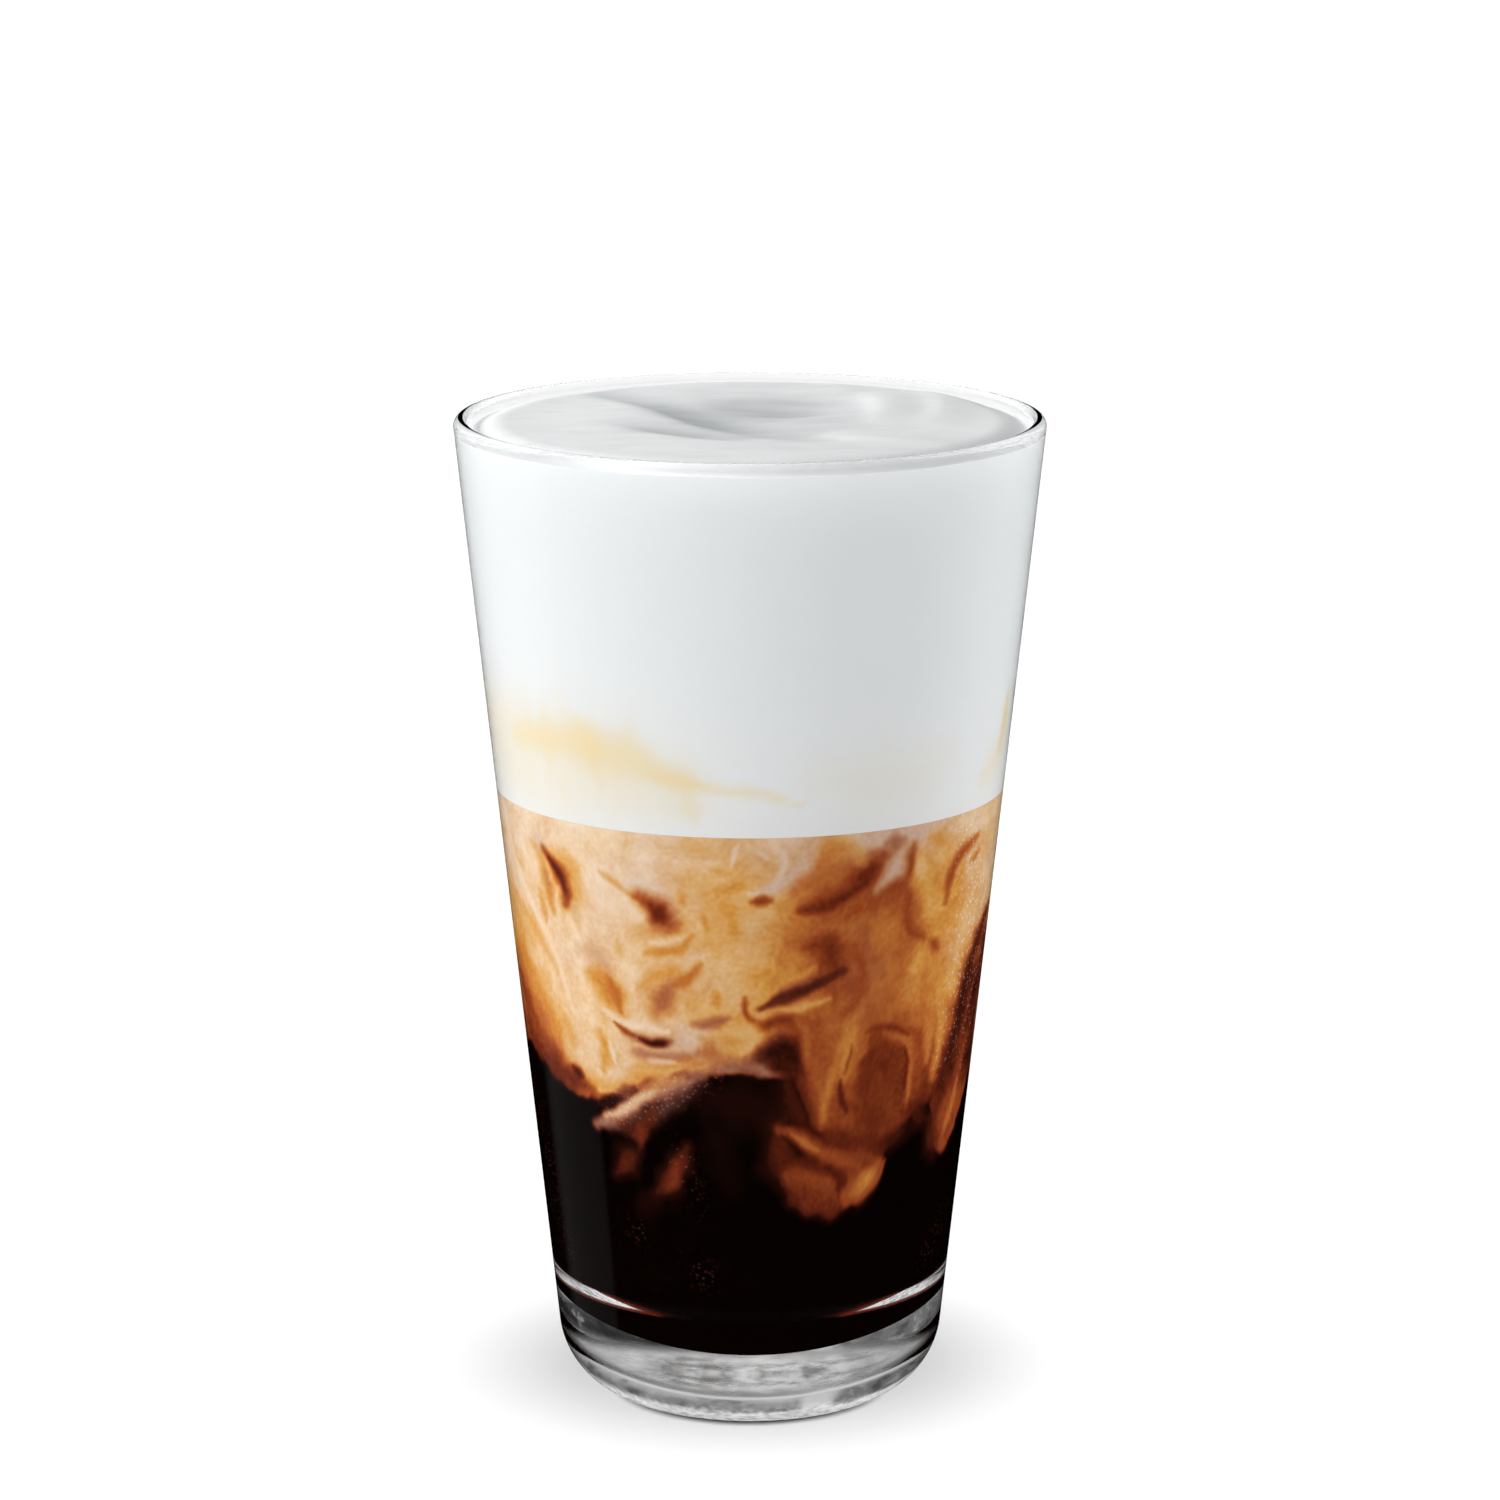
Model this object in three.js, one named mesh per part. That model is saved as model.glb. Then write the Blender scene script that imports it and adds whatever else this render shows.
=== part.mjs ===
// An iced cappuccino in a tall conical pint glass, in millimetres, +Z up.
// The origin is the middle of the circle that the glass stands on.
// From the floor up: the thick glass base, dark coffee, milky coffee whose plumes
// sink into the dark, and cold milk foam, stirred into a swirl, up to the rim.
import * as THREE from 'three';

// Driving dimensions of the glass
const GLASS_HEIGHT = 151;
const RIM_RADIUS = 44.4;
const FOOT_RADIUS = 28.1; // where the straight outer wall would meet the floor
const HEEL_RADIUS = 12.4;
const LIP_RADIUS = 1.15;
const WALL_AT_RIM = 2.3;
const WALL_AT_FLOOR = 3.4;
const BOWL_BOTTOM = 9.6; // lowest point of the glass's bowl-shaped inside
const BOWL_RADIUS = 37;
const BOWL_CORNER_RADIUS = 5; // rounds the bowl into the wall
const REST_RING_WIDTH = 2.6;
const PUNT_DEPTH = 1.4;

// Driving dimensions of the drink
const GAP = 0.3; // clearance between solids that touch
const BORDER_GAP = 0.5; // measured straight down, where the border can be steep
const FOAM_BOTTOM = 94.8;
const FOAM_EDGE = 148.9; // where the foam meets the glass
const PLUME_BASE = 53.5; // usual level of the milky coffee's underside
const CENTRE_LEVEL = 57; // its level on the axis

// Facets
const TURNS = 72;
const ARC_STEPS = 7;
const CORNER_STEPS = 4;

const radians = THREE.MathUtils.degToRad;
const smooth = THREE.MathUtils.smoothstep;

// The half angle of the cone, and the radii of both faces of the wall at a height
const TAPER = Math.atan2(RIM_RADIUS - FOOT_RADIUS, GLASS_HEIGHT);
const outerRadius = (z) => FOOT_RADIUS + z * Math.tan(TAPER);
const wallThickness = (z) => THREE.MathUtils.lerp(WALL_AT_FLOOR, WALL_AT_RIM, z / GLASS_HEIGHT);
const wallRadius = (z) => outerRadius(z) - wallThickness(z);

// Points on an arc round [r, z], from one angle to another, both ends included
function arc(centre, radius, from, to, steps) {
  const points = [];
  for (let i = 0; i <= steps; i += 1) {
    const angle = THREE.MathUtils.lerp(from, to, i / steps);
    points.push([centre[0] + radius * Math.cos(angle), centre[1] + radius * Math.sin(angle)]);
  }
  return points;
}

// The glass's inside below its wall, from the wall down to just off the axis: a round corner,
// then a bowl. shrink moves it all inwards, which gives the drink its clearance.
function innerBottom(shrink) {
  const lean = Math.atan2(wallRadius(GLASS_HEIGHT) - wallRadius(0), GLASS_HEIGHT);
  const bowlCentre = BOWL_BOTTOM + BOWL_RADIUS;
  // The corner's centre lies one corner radius off the wall, and off the bowl too
  const offset = wallRadius(0) - BOWL_CORNER_RADIUS / Math.cos(lean);
  const slope = Math.tan(lean);
  const a = 1 + slope ** 2;
  const b = slope * offset - bowlCentre;
  const c = offset ** 2 + bowlCentre ** 2 - (BOWL_RADIUS - BOWL_CORNER_RADIUS) ** 2;
  const z = (-b - Math.sqrt(b ** 2 - a * c)) / a;
  const r = offset + slope * z;
  const join = Math.atan2(z - bowlCentre, r);
  const corner = arc([r, z], BOWL_CORNER_RADIUS - shrink, -lean, join, CORNER_STEPS);
  const bowl = arc([0, bowlCentre], BOWL_RADIUS - shrink, join, -Math.PI / 2, ARC_STEPS);
  return [...corner, ...bowl.slice(1, -1)];
}

// Half of the glass's section: underside, heel, outer wall, lip, inner wall, bowl-shaped inside
function glassSection() {
  const heelCentre = [outerRadius(HEEL_RADIUS) - HEEL_RADIUS / Math.cos(TAPER), HEEL_RADIUS];
  const lipHeight = GLASS_HEIGHT - LIP_RADIUS;
  const lipCentre = [outerRadius(lipHeight) - LIP_RADIUS / Math.cos(TAPER), lipHeight];
  const ringInner = heelCentre[0] - REST_RING_WIDTH;
  const punt = [
    [0, PUNT_DEPTH],
    [ringInner * 0.45, PUNT_DEPTH * 0.85],
    [ringInner * 0.8, PUNT_DEPTH * 0.4],
    [ringInner, 0],
  ];
  const heel = arc(heelCentre, HEEL_RADIUS, -Math.PI / 2, -TAPER, ARC_STEPS + 1);
  const lip = arc(lipCentre, LIP_RADIUS, -TAPER, Math.PI, ARC_STEPS);
  return [...punt, ...heel, ...lip, ...innerBottom(0), [0, BOWL_BOTTOM]];
}

function glassGeometry() {
  const points = glassSection().map(([r, z]) => new THREE.Vector2(r, z));
  return new THREE.LatheGeometry(points, TURNS).rotateX(Math.PI / 2);
}

// Plumes of milky coffee that hang into the dark coffee, by the angle where each one is,
// its half width in degrees and its drop in millimetres. Angle 0 faces +X and -90 the front.
const PLUMES = [
  { angle: -124, halfWidth: 15, drop: 5 },
  { angle: -66, halfWidth: 19, drop: 19.5 },
  { angle: -14, halfWidth: 20, drop: 14 },
  { angle: 38, halfWidth: 22, drop: 9 },
  { angle: 82, halfWidth: 16, drop: 17 },
  { angle: 128, halfWidth: 20, drop: 8 },
  { angle: 168, halfWidth: 15, drop: 13 },
];

// The plumes hang near the wall, between these shares of the way to it
const PLUME_START = 0.35;
const PLUME_FULL = 0.95;

// The border's slow waves round the glass, as cycles, height in millimetres and phase
const WAVES = [
  { cycles: 3, height: 1.6, phase: 1.1 },
  { cycles: 5, height: 0.9, phase: -0.4 },
];

// The angle from one direction to another, the short way round
function turnBetween(from, to) {
  return THREE.MathUtils.euclideanModulo(to - from + Math.PI, 2 * Math.PI) - Math.PI;
}

// Level of the border between milky and dark coffee. part is the share of the way to the wall.
function borderLevel(part, angle) {
  let drop = 0;
  for (const plume of PLUMES) {
    const reach = Math.abs(turnBetween(radians(plume.angle), angle)) / radians(plume.halfWidth);
    if (reach < 1) drop += plume.drop * Math.cos((reach * Math.PI) / 2) ** 2;
  }
  let level = PLUME_BASE;
  for (const wave of WAVES) level += wave.height * Math.sin(wave.cycles * angle + wave.phase);
  level = THREE.MathUtils.lerp(CENTRE_LEVEL, level, smooth(part, 0, 1));
  return level - drop * smooth(part, PLUME_START, PLUME_FULL);
}

// The foam's stirred top: a low dome with a spiral fold round a hollow off the axis
const SWIRL = {
  x: 4,
  y: 10,
  dome: 1.55,
  edge: 5.5, // width of the rounded edge at the glass
  fold: 0.25, // height of the spiral fold above and below the dome
  arms: 2,
  pitch: 2.3, // turns the fold outwards as it goes round
  wallCalm: 12, // the fold fades out over this distance from the wall
  reach: 9, // radius of the hollow at the swirl's middle
  hollow: 0.9,
  eye: 2, // the fold starts this far from the middle
  open: 14, // and has its full height here
};

// Larger folds that the stirring left in the top, along paths of [x, y]. Ridges rise, creases sink.
const FOLDS = [
  { rise: -0.8, path: [[-38, 23], [-28, 28], [-21, 25], [-14, 13], [-7.5, -1], [1.5, -13], [14.5, -20.5]] },
  { rise: -0.5, path: [[-22, -1], [-10, -13], [1.5, -21.5]] },
  { rise: 0.55, path: [[10, -11.5], [19, -18], [30.5, -21.5]] },
  { rise: 0.5, path: [[17, 28], [20, 18], [20, 3], [17, -3]] },
  { rise: 0.5, path: [[23, 34], [28, 28], [29.5, 15], [28.5, 3], [25, -6]] },
];
const FOLD_STEEP = 2.6; // reach of a fold on the right of its path
const FOLD_GENTLE = 5; // and on the left

// Height of one fold at a point: highest in the middle of its path, nothing at both ends
function foldRise({ rise, path }, x, y) {
  const point = new THREE.Vector2(x, y);
  const line = path.map(([px, py]) => new THREE.Vector2(px, py));
  const lengths = line.slice(1).map((end, i) => end.distanceTo(line[i]));
  const whole = lengths.reduce((sum, length) => sum + length, 0);
  let nearest = { away: Infinity };
  let run = 0;
  lengths.forEach((length, i) => {
    const step = line[i + 1].clone().sub(line[i]).divideScalar(length);
    const offset = point.clone().sub(line[i]);
    const t = THREE.MathUtils.clamp(offset.dot(step), 0, length);
    const away = offset.clone().addScaledVector(step, -t).length();
    if (away < nearest.away) nearest = { away, left: step.cross(offset), share: (run + t) / whole };
    run += length;
  });
  const side = nearest.away > 0 ? nearest.left / nearest.away : 0;
  const reach = THREE.MathUtils.lerp(FOLD_STEEP, FOLD_GENTLE, 0.5 + 0.5 * side);
  return rise * Math.sin(Math.PI * nearest.share) * Math.exp(-((nearest.away / reach) ** 2));
}

function foamLevel(part, angle) {
  const r = part * wallRadius(FOAM_EDGE);
  const x = r * Math.cos(angle);
  const y = r * Math.sin(angle);
  const away = Math.hypot(x - SWIRL.x, y - SWIRL.y);
  const fromWall = wallRadius(FOAM_EDGE) - r;
  const rise = SWIRL.dome * Math.sin((Math.PI / 2) * Math.min(1, fromWall / SWIRL.edge));
  const turn = Math.atan2(y - SWIRL.y, x - SWIRL.x);
  const phase = SWIRL.arms * (turn - SWIRL.pitch * Math.log1p(away / SWIRL.reach));
  const calm = smooth(fromWall, 0, SWIRL.wallCalm) * smooth(away, SWIRL.eye, SWIRL.open);
  const spiral = SWIRL.fold * Math.sin(phase) * calm;
  const hollow = SWIRL.hollow * Math.exp(-((away / SWIRL.reach) ** 2));
  let folds = 0;
  for (const fold of FOLDS) folds += foldRise(fold, x, y);
  return FOAM_EDGE + rise + spiral - hollow + folds * smooth(fromWall, 0, SWIRL.edge);
}

// A closed solid made of rings stacked from its lowest pole to its highest.
// A ring is a function of the angle that gives [radius, height]; the poles are heights.
function ringStack(lowPole, rings, highPole) {
  const positions = [0, 0, lowPole];
  for (const ring of rings) {
    for (let i = 0; i < TURNS; i += 1) {
      const angle = (i / TURNS) * 2 * Math.PI;
      const [r, z] = ring(angle);
      positions.push(r * Math.cos(angle), r * Math.sin(angle), z);
    }
  }
  positions.push(0, 0, highPole);
  const at = (ring, i) => 1 + ring * TURNS + (i % TURNS);
  const top = positions.length / 3 - 1;
  const point = (index) => new THREE.Vector3().fromArray(positions, 3 * index);
  const faces = [];
  for (let i = 0; i < TURNS; i += 1) {
    faces.push(0, at(0, i + 1), at(0, i));
    for (let ring = 0; ring + 1 < rings.length; ring += 1) {
      const [a, b, c, d] = [at(ring, i), at(ring, i + 1), at(ring + 1, i + 1), at(ring + 1, i)];
      // The shorter diagonal, so that both sides of a border are split alike
      if (point(a).distanceTo(point(c)) < point(b).distanceTo(point(d))) faces.push(a, b, c, a, c, d);
      else faces.push(a, b, d, b, c, d);
    }
    faces.push(at(rings.length - 1, i), at(rings.length - 1, i + 1), top);
  }
  const geometry = new THREE.BufferGeometry();
  geometry.setAttribute('position', new THREE.Float32BufferAttribute(positions, 3));
  geometry.setIndex(faces);
  geometry.computeVertexNormals();
  return geometry;
}

// Rings of a surface level(part, angle) at shares of the way to the wall, lowered if asked
function surfaceRings(level, parts, lowered = 0) {
  return parts.map((part) => (angle) => {
    const z = level(part, angle);
    return [part * (wallRadius(z) - GAP), z - lowered];
  });
}

const BORDER_PARTS = [0.22, 0.4, 0.55, 0.68, 0.8, 0.91, 1];
const FOAM_PARTS = [0.08, 0.16, 0.24, 0.32, 0.4, 0.48, 0.56, 0.64, 0.71, 0.78, 0.85, 0.91, 0.96, 1];
const inwards = (parts) => [...parts].reverse();
const flatLevel = (z) => () => z;

function darkCoffeeGeometry() {
  const bottom = inwards(innerBottom(GAP)).map((point) => () => point);
  const border = surfaceRings(borderLevel, inwards(BORDER_PARTS), BORDER_GAP);
  return ringStack(BOWL_BOTTOM + GAP, [...bottom, ...border], CENTRE_LEVEL - BORDER_GAP);
}

function milkyCoffeeGeometry() {
  const border = surfaceRings(borderLevel, BORDER_PARTS);
  const top = surfaceRings(flatLevel(FOAM_BOTTOM - GAP), [1]);
  return ringStack(CENTRE_LEVEL, [...border, ...top], FOAM_BOTTOM - GAP);
}

function foamGeometry() {
  const bottom = surfaceRings(flatLevel(FOAM_BOTTOM), [1]);
  const top = surfaceRings(foamLevel, inwards(FOAM_PARTS));
  return ringStack(FOAM_BOTTOM, [...bottom, ...top], foamLevel(0, 0));
}

function part(name, geometry, look) {
  const mesh = new THREE.Mesh(geometry, new THREE.MeshStandardMaterial(look));
  mesh.name = name;
  return mesh;
}

const drink = new THREE.Group();
drink.add(
  part('dark_coffee', darkCoffeeGeometry(), { color: 0x120502, roughness: 0.2, metalness: 0 }),
  part('milky_coffee', milkyCoffeeGeometry(), { color: 0xc0874a, roughness: 0.35, metalness: 0 }),
  part('milk_foam', foamGeometry(), { color: 0xf1f2f1, roughness: 0.6, metalness: 0 }),
);

const glass = part('glass', glassGeometry(), {
  color: 0xf4f8f8,
  roughness: 0.03,
  metalness: 0,
  transparent: true,
  opacity: 0.3,
});

const cappuccino = new THREE.Group();
cappuccino.add(glass, drink);

export default cappuccino;
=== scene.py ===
"""Iced cappuccino in a conical glass: smooth glass, marbled coffee, stirred foam and the stage."""
import math

import bpy
import numpy as np
from bpy.props import FloatProperty, FloatVectorProperty, IntProperty, PointerProperty
from bpy.types import Operator, Panel, PropertyGroup
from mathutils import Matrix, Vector


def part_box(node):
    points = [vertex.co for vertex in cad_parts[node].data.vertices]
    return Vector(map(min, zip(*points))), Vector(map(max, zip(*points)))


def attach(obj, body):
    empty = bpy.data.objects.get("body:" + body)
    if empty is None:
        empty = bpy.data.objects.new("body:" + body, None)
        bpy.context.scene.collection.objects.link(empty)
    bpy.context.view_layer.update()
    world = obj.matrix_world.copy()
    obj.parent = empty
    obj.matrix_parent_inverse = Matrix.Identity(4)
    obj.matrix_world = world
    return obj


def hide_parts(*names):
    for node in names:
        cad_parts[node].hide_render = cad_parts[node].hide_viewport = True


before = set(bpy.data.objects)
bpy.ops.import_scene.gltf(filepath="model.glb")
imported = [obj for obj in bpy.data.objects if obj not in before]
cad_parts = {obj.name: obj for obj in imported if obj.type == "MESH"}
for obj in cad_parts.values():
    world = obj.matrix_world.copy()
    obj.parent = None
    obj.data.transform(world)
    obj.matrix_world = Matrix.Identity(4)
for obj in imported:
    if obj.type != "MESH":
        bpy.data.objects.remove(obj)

bl_info = {
    "name": "Iced cappuccino",
    "version": (1, 0, 0),
    "blender": (4, 5, 0),
    "location": "View3D > Sidebar > Cappuccino",
    "description": "Builds a filled glass of iced cappuccino round its solids",
    "category": "Add Mesh",
}

MM = 0.001
FULL_TURN = 2 * math.pi

# Sizes that the frame gives, in metres
GLASS_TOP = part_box("glass")[1][2]
FOAM_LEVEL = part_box("milk_foam")[0][2]

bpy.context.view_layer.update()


# Sizes, colours and lights to change

def length(name, description, default, low=0.0, high=1.0):
    return FloatProperty(name=name, description=description, default=default, min=low, max=high,
                         unit="LENGTH", subtype="DISTANCE", precision=5)


def colour(name, description, default):
    return FloatVectorProperty(name=name, description=description, default=default, size=3,
                               min=0.0, max=1.0, subtype="COLOR")


class GlassSizes(PropertyGroup):
    height: length("Height", "Height of the glass", 151 * MM)
    rim_radius: length("Rim radius", "Radius that the straight wall reaches at the top", 44.4 * MM)
    foot_radius: length("Foot radius", "Radius that the straight wall would reach at the floor", 28.1 * MM)
    heel_radius: length("Heel radius", "Radius of the rounding between wall and foot", 12.4 * MM)
    lip_radius: length("Lip radius", "Radius of the rounded lip", 1.15 * MM)
    rim_wall: length("Wall at rim", "Thickness of the wall at the rim", 2.3 * MM)
    floor_wall: length("Wall at floor", "Thickness that the wall would have at the floor", 3.4 * MM)
    bowl_bottom: length("Bowl bottom", "Height of the bowl-shaped inside's lowest point", 9.6 * MM)
    bowl_radius: length("Bowl radius", "Radius of the bowl-shaped inside", 37 * MM)
    corner_radius: length("Corner radius", "Radius between the bowl and the inner wall", 5 * MM)
    rest_ring: length("Resting ring", "Width of the flat ring that the glass stands on", 2.6 * MM)
    punt: length("Punt", "Depth of the hollow under the foot", 1.4 * MM)
    turns: IntProperty(name="Turns", description="Steps round the glass", default=256, min=64, max=512)


class DrinkSizes(PropertyGroup):
    foam_level: length("Foam level", "Height where the milk foam begins", FOAM_LEVEL)
    foam_edge: length("Foam edge", "Height of the foam where it meets the glass", 148.9 * MM)
    bite: length("Bite", "How far the drink reaches into the glass, so that no air gap shows", 0.12 * MM)
    columns: IntProperty(name="Columns", description="Columns of points round the drink", default=540,
                         min=120, max=720)


class DrinkColours(PropertyGroup):
    foam: colour("Foam", "Milk foam", (0.9, 0.91, 0.91))
    crease: colour("Crease", "Shaded creases in the foam's top", (0.5, 0.515, 0.52))
    stain: colour("Stain", "Coffee stain in the foam", (0.92, 0.72, 0.35))


def brightness(name, description, default):
    return FloatProperty(name=name, description=description, default=default, min=0.0)


class StageSettings(PropertyGroup):
    sky: brightness("Sky", "Light from all sides on the floor and the foam's top", 0.4)
    through_glass: brightness("Sky through glass", "Light from all sides on the drink", 1.12)
    key: brightness("Left light", "Soft light from the left on the drink", 5.8)
    left_edge: brightness("Left edge light", "Soft light from the left and behind", 7.0)
    right_edge: brightness("Right edge light", "Soft light from the right and behind", 11.0)
    top_power: FloatProperty(name="Top light", description="Power of the light that grazes the foam",
                             default=13.0, min=0.0, unit="POWER")


# Modelling helpers

def deselect():
    """Object mode with nothing selected."""
    if bpy.context.object and bpy.context.object.mode != "OBJECT":
        bpy.ops.object.mode_set(mode="OBJECT")
    bpy.ops.object.select_all(action="DESELECT")


def arc(centre, radius, start, end, steps):
    """Points of an arc in the section, as (radius from the axis, height)."""
    return [(centre[0] + radius * math.cos(start + (end - start) * i / steps),
             centre[1] + radius * math.sin(start + (end - start) * i / steps)) for i in range(steps + 1)]


def spun_piece(name, section, turns):
    """A closed solid: one vertex is drawn out along half the section, which is then spun round the axis."""
    deselect()
    bpy.ops.mesh.primitive_plane_add(size=MM)
    piece = bpy.context.object
    piece.name = piece.data.name = name
    bpy.ops.object.mode_set(mode="EDIT")
    bpy.ops.mesh.select_all(action="SELECT")
    bpy.ops.mesh.merge(type="CENTER")
    at = Vector((0.0, 0.0, 0.0))
    first = Vector((section[0][0], 0.0, section[0][1]))
    bpy.ops.transform.translate(value=first - at)
    at = first
    for radius, height in section[1:]:
        target = Vector((radius, 0.0, height))
        bpy.ops.mesh.extrude_region_move(TRANSFORM_OT_translate={"value": target - at})
        at = target
    bpy.ops.object.mode_set(mode="OBJECT")
    screw = piece.modifiers.new("spin", "SCREW")
    screw.angle = FULL_TURN
    screw.steps = screw.render_steps = turns
    screw.use_merge_vertices = True
    screw.merge_threshold = 1e-6
    bpy.ops.object.modifier_apply(modifier=screw.name)
    bpy.ops.object.mode_set(mode="EDIT")
    bpy.ops.mesh.select_all(action="SELECT")
    bpy.ops.mesh.remove_doubles(threshold=1e-6)
    bpy.ops.mesh.normals_make_consistent(inside=False)
    bpy.ops.object.mode_set(mode="OBJECT")
    return piece


def points_of(piece):
    flat = np.empty(3 * len(piece.data.vertices))
    piece.data.vertices.foreach_get("co", flat)
    return flat.reshape(-1, 3)


def set_points(piece, points):
    piece.data.vertices.foreach_set("co", points.ravel())
    piece.data.update()


def polar(points):
    """Angle from +X and distance from the axis."""
    return np.arctan2(points[:, 1], points[:, 0]), np.hypot(points[:, 0], points[:, 1])


def set_polar(piece, angle, radius, height):
    set_points(piece, np.stack([radius * np.cos(angle), radius * np.sin(angle), height], 1))


def wall_places(piece):
    """Degrees round the glass from its front, and millimetres above the floor."""
    points = points_of(piece)
    return np.degrees(np.arctan2(points[:, 0], -points[:, 1])), points[:, 2] / MM


def store(piece, name, values):
    """A number for every vertex, which the material reads by its name."""
    attribute = piece.data.attributes.new(name, "FLOAT", "POINT")
    attribute.data.foreach_set("value", values.astype(np.float32))


def finish_piece(piece, node, material):
    deselect()
    piece.select_set(True)
    bpy.context.view_layer.objects.active = piece
    bpy.ops.object.shade_smooth_by_angle(angle=math.radians(40))
    piece.data.materials.clear()
    piece.data.materials.append(material)
    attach(piece, "root")
    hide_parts(node)


# The glass's form

def taper():
    glass = bpy.context.scene.cappuccino_glass
    return math.atan2(glass.rim_radius - glass.foot_radius, glass.height)


def outer_radius(height):
    glass = bpy.context.scene.cappuccino_glass
    return glass.foot_radius + height * math.tan(taper())


def inner_radius(height):
    glass = bpy.context.scene.cappuccino_glass
    wall = glass.floor_wall + (glass.rim_wall - glass.floor_wall) * height / glass.height
    return outer_radius(height) - wall


def inner_bottom(bite, corner_steps, bowl_steps):
    """Section of the inside from the wall down to just off the axis. bite moves it outwards."""
    glass = bpy.context.scene.cappuccino_glass
    lean = math.atan2(inner_radius(glass.height) - inner_radius(0), glass.height)
    bowl_centre = glass.bowl_bottom + glass.bowl_radius
    offset = inner_radius(0) - glass.corner_radius / math.cos(lean)
    slope = math.tan(lean)
    a = 1 + slope ** 2
    b = slope * offset - bowl_centre
    c = offset ** 2 + bowl_centre ** 2 - (glass.bowl_radius - glass.corner_radius) ** 2
    height = (-b - math.sqrt(b ** 2 - a * c)) / a
    radius = offset + slope * height
    join = math.atan2(height - bowl_centre, radius)
    corner = arc((radius, height), glass.corner_radius + bite, -lean, join, corner_steps)
    bowl = arc((0, bowl_centre), glass.bowl_radius + bite, join, -math.pi / 2, bowl_steps)
    return corner + bowl[1:-1]


def glass_section():
    """Half the glass: underside, heel, wall, lip, inner wall and bowl."""
    glass = bpy.context.scene.cappuccino_glass
    heel = (outer_radius(glass.heel_radius) - glass.heel_radius / math.cos(taper()), glass.heel_radius)
    lip_height = glass.height - glass.lip_radius
    lip = (outer_radius(lip_height) - glass.lip_radius / math.cos(taper()), lip_height)
    ring_inside = heel[0] - glass.rest_ring
    punt_steps = 8
    punt = [(ring_inside * i / punt_steps, glass.punt * math.cos(math.pi / 2 * i / punt_steps))
            for i in range(punt_steps)] + [(ring_inside, 0.0)]
    return (punt + arc(heel, glass.heel_radius, -math.pi / 2, -taper(), 24)
            + arc(lip, glass.lip_radius, -taper(), math.pi, 16)
            + inner_bottom(0.0, 16, 40) + [(0.0, glass.bowl_bottom)])


# Soft random patterns, in millimetres

TURN_WIDTH = 216.0  # the unrolled wall: 0.6 mm for each degree
DEGREE = TURN_WIDTH / 360
NOISE_SEED = 7

_random = np.random.RandomState(NOISE_SEED)
_slope_angle = _random.rand(512, 512) * FULL_TURN
SLOPE_X, SLOPE_Y = np.cos(_slope_angle), np.sin(_slope_angle)


def smooth(x):
    x = np.clip(x, 0, 1)
    return x * x * (3 - 2 * x)


def ripple(x, y, cell, seed, wrap=True):
    """Gradient noise between about -1 and 1, whose bumps are cell wide and which closes round the wall."""
    columns = max(1, round(TURN_WIDTH / cell))
    x = x / TURN_WIDTH * columns
    y = y / cell + 11.3 * seed
    xi, yi = np.floor(x).astype(int), np.floor(y).astype(int)
    xf, yf = x - xi, y - yi
    u = xf ** 3 * (xf * (xf * 6 - 15) + 10)
    v = yf ** 3 * (yf * (yf * 6 - 15) + 10)

    def corner(i, j):
        column = ((xi + i) % columns if wrap else xi + i) + 37 * seed
        row = yi + j
        return SLOPE_X[column % 512, row % 512] * (xf - i) + SLOPE_Y[column % 512, row % 512] * (yf - j)

    low = corner(0, 0) * (1 - u) + corner(1, 0) * u
    high = corner(0, 1) * (1 - u) + corner(1, 1) * u
    return 1.5 * (low * (1 - v) + high * v)


def stirred(x, y, cell, reach, steps, seed):
    """Where the liquid at (x, y) came from, after stirring by whirls that are cell wide."""
    step = reach / steps
    nudge = 0.02 * cell
    for _ in range(steps):
        up = ripple(x, y + nudge, cell, seed) - ripple(x, y - nudge, cell, seed)
        along = ripple(x + nudge, y, cell, seed) - ripple(x - nudge, y, cell, seed)
        x = x - step * up / (2 * nudge) * cell
        y = y + step * along / (2 * nudge) * cell
    return x, y


def curve(path, per=6):
    """A smooth curve through the path's points."""
    p = np.array(path, float)
    if len(p) == 2:
        t = np.linspace(0, 1, per + 1)[:, None]
        return p[0] * (1 - t) + p[1] * t
    q = np.vstack([2 * p[0] - p[1], p, 2 * p[-1] - p[-2]])
    points = []
    for i in range(1, len(q) - 2):
        a, b, c, d = q[i - 1:i + 3]
        for t in np.arange(per) / per:
            points.append(0.5 * (2 * b + (c - a) * t + (2 * a - 5 * b + 4 * c - d) * t ** 2
                                 + (3 * b - a - 3 * c + d) * t ** 3))
    points.append(q[-2])
    return np.array(points)


def nearest_on(line, x, y):
    """Distance to a line of points, how far along it the nearest place is, how far it is aside of
    the line, with a sign, and the line's length."""
    steps = np.diff(line, axis=0)
    lengths = np.hypot(steps[:, 0], steps[:, 1])
    run = np.concatenate([[0], np.cumsum(lengths)])
    nearest, along, aside = np.full(x.shape, 1e9), np.zeros(x.shape), np.zeros(x.shape)
    for i, (dx, dy) in enumerate(steps):
        ox, oy = x - line[i, 0], y - line[i, 1]
        t = np.clip((ox * dx + oy * dy) / lengths[i] ** 2, 0, 1)
        away = np.hypot(ox - t * dx, oy - t * dy)
        closer = away < nearest
        nearest = np.where(closer, away, nearest)
        along = np.where(closer, run[i] + t * lengths[i], along)
        aside = np.where(closer, (dx * oy - dy * ox) / lengths[i], aside)
    return nearest, along, aside, run[-1]


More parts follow.
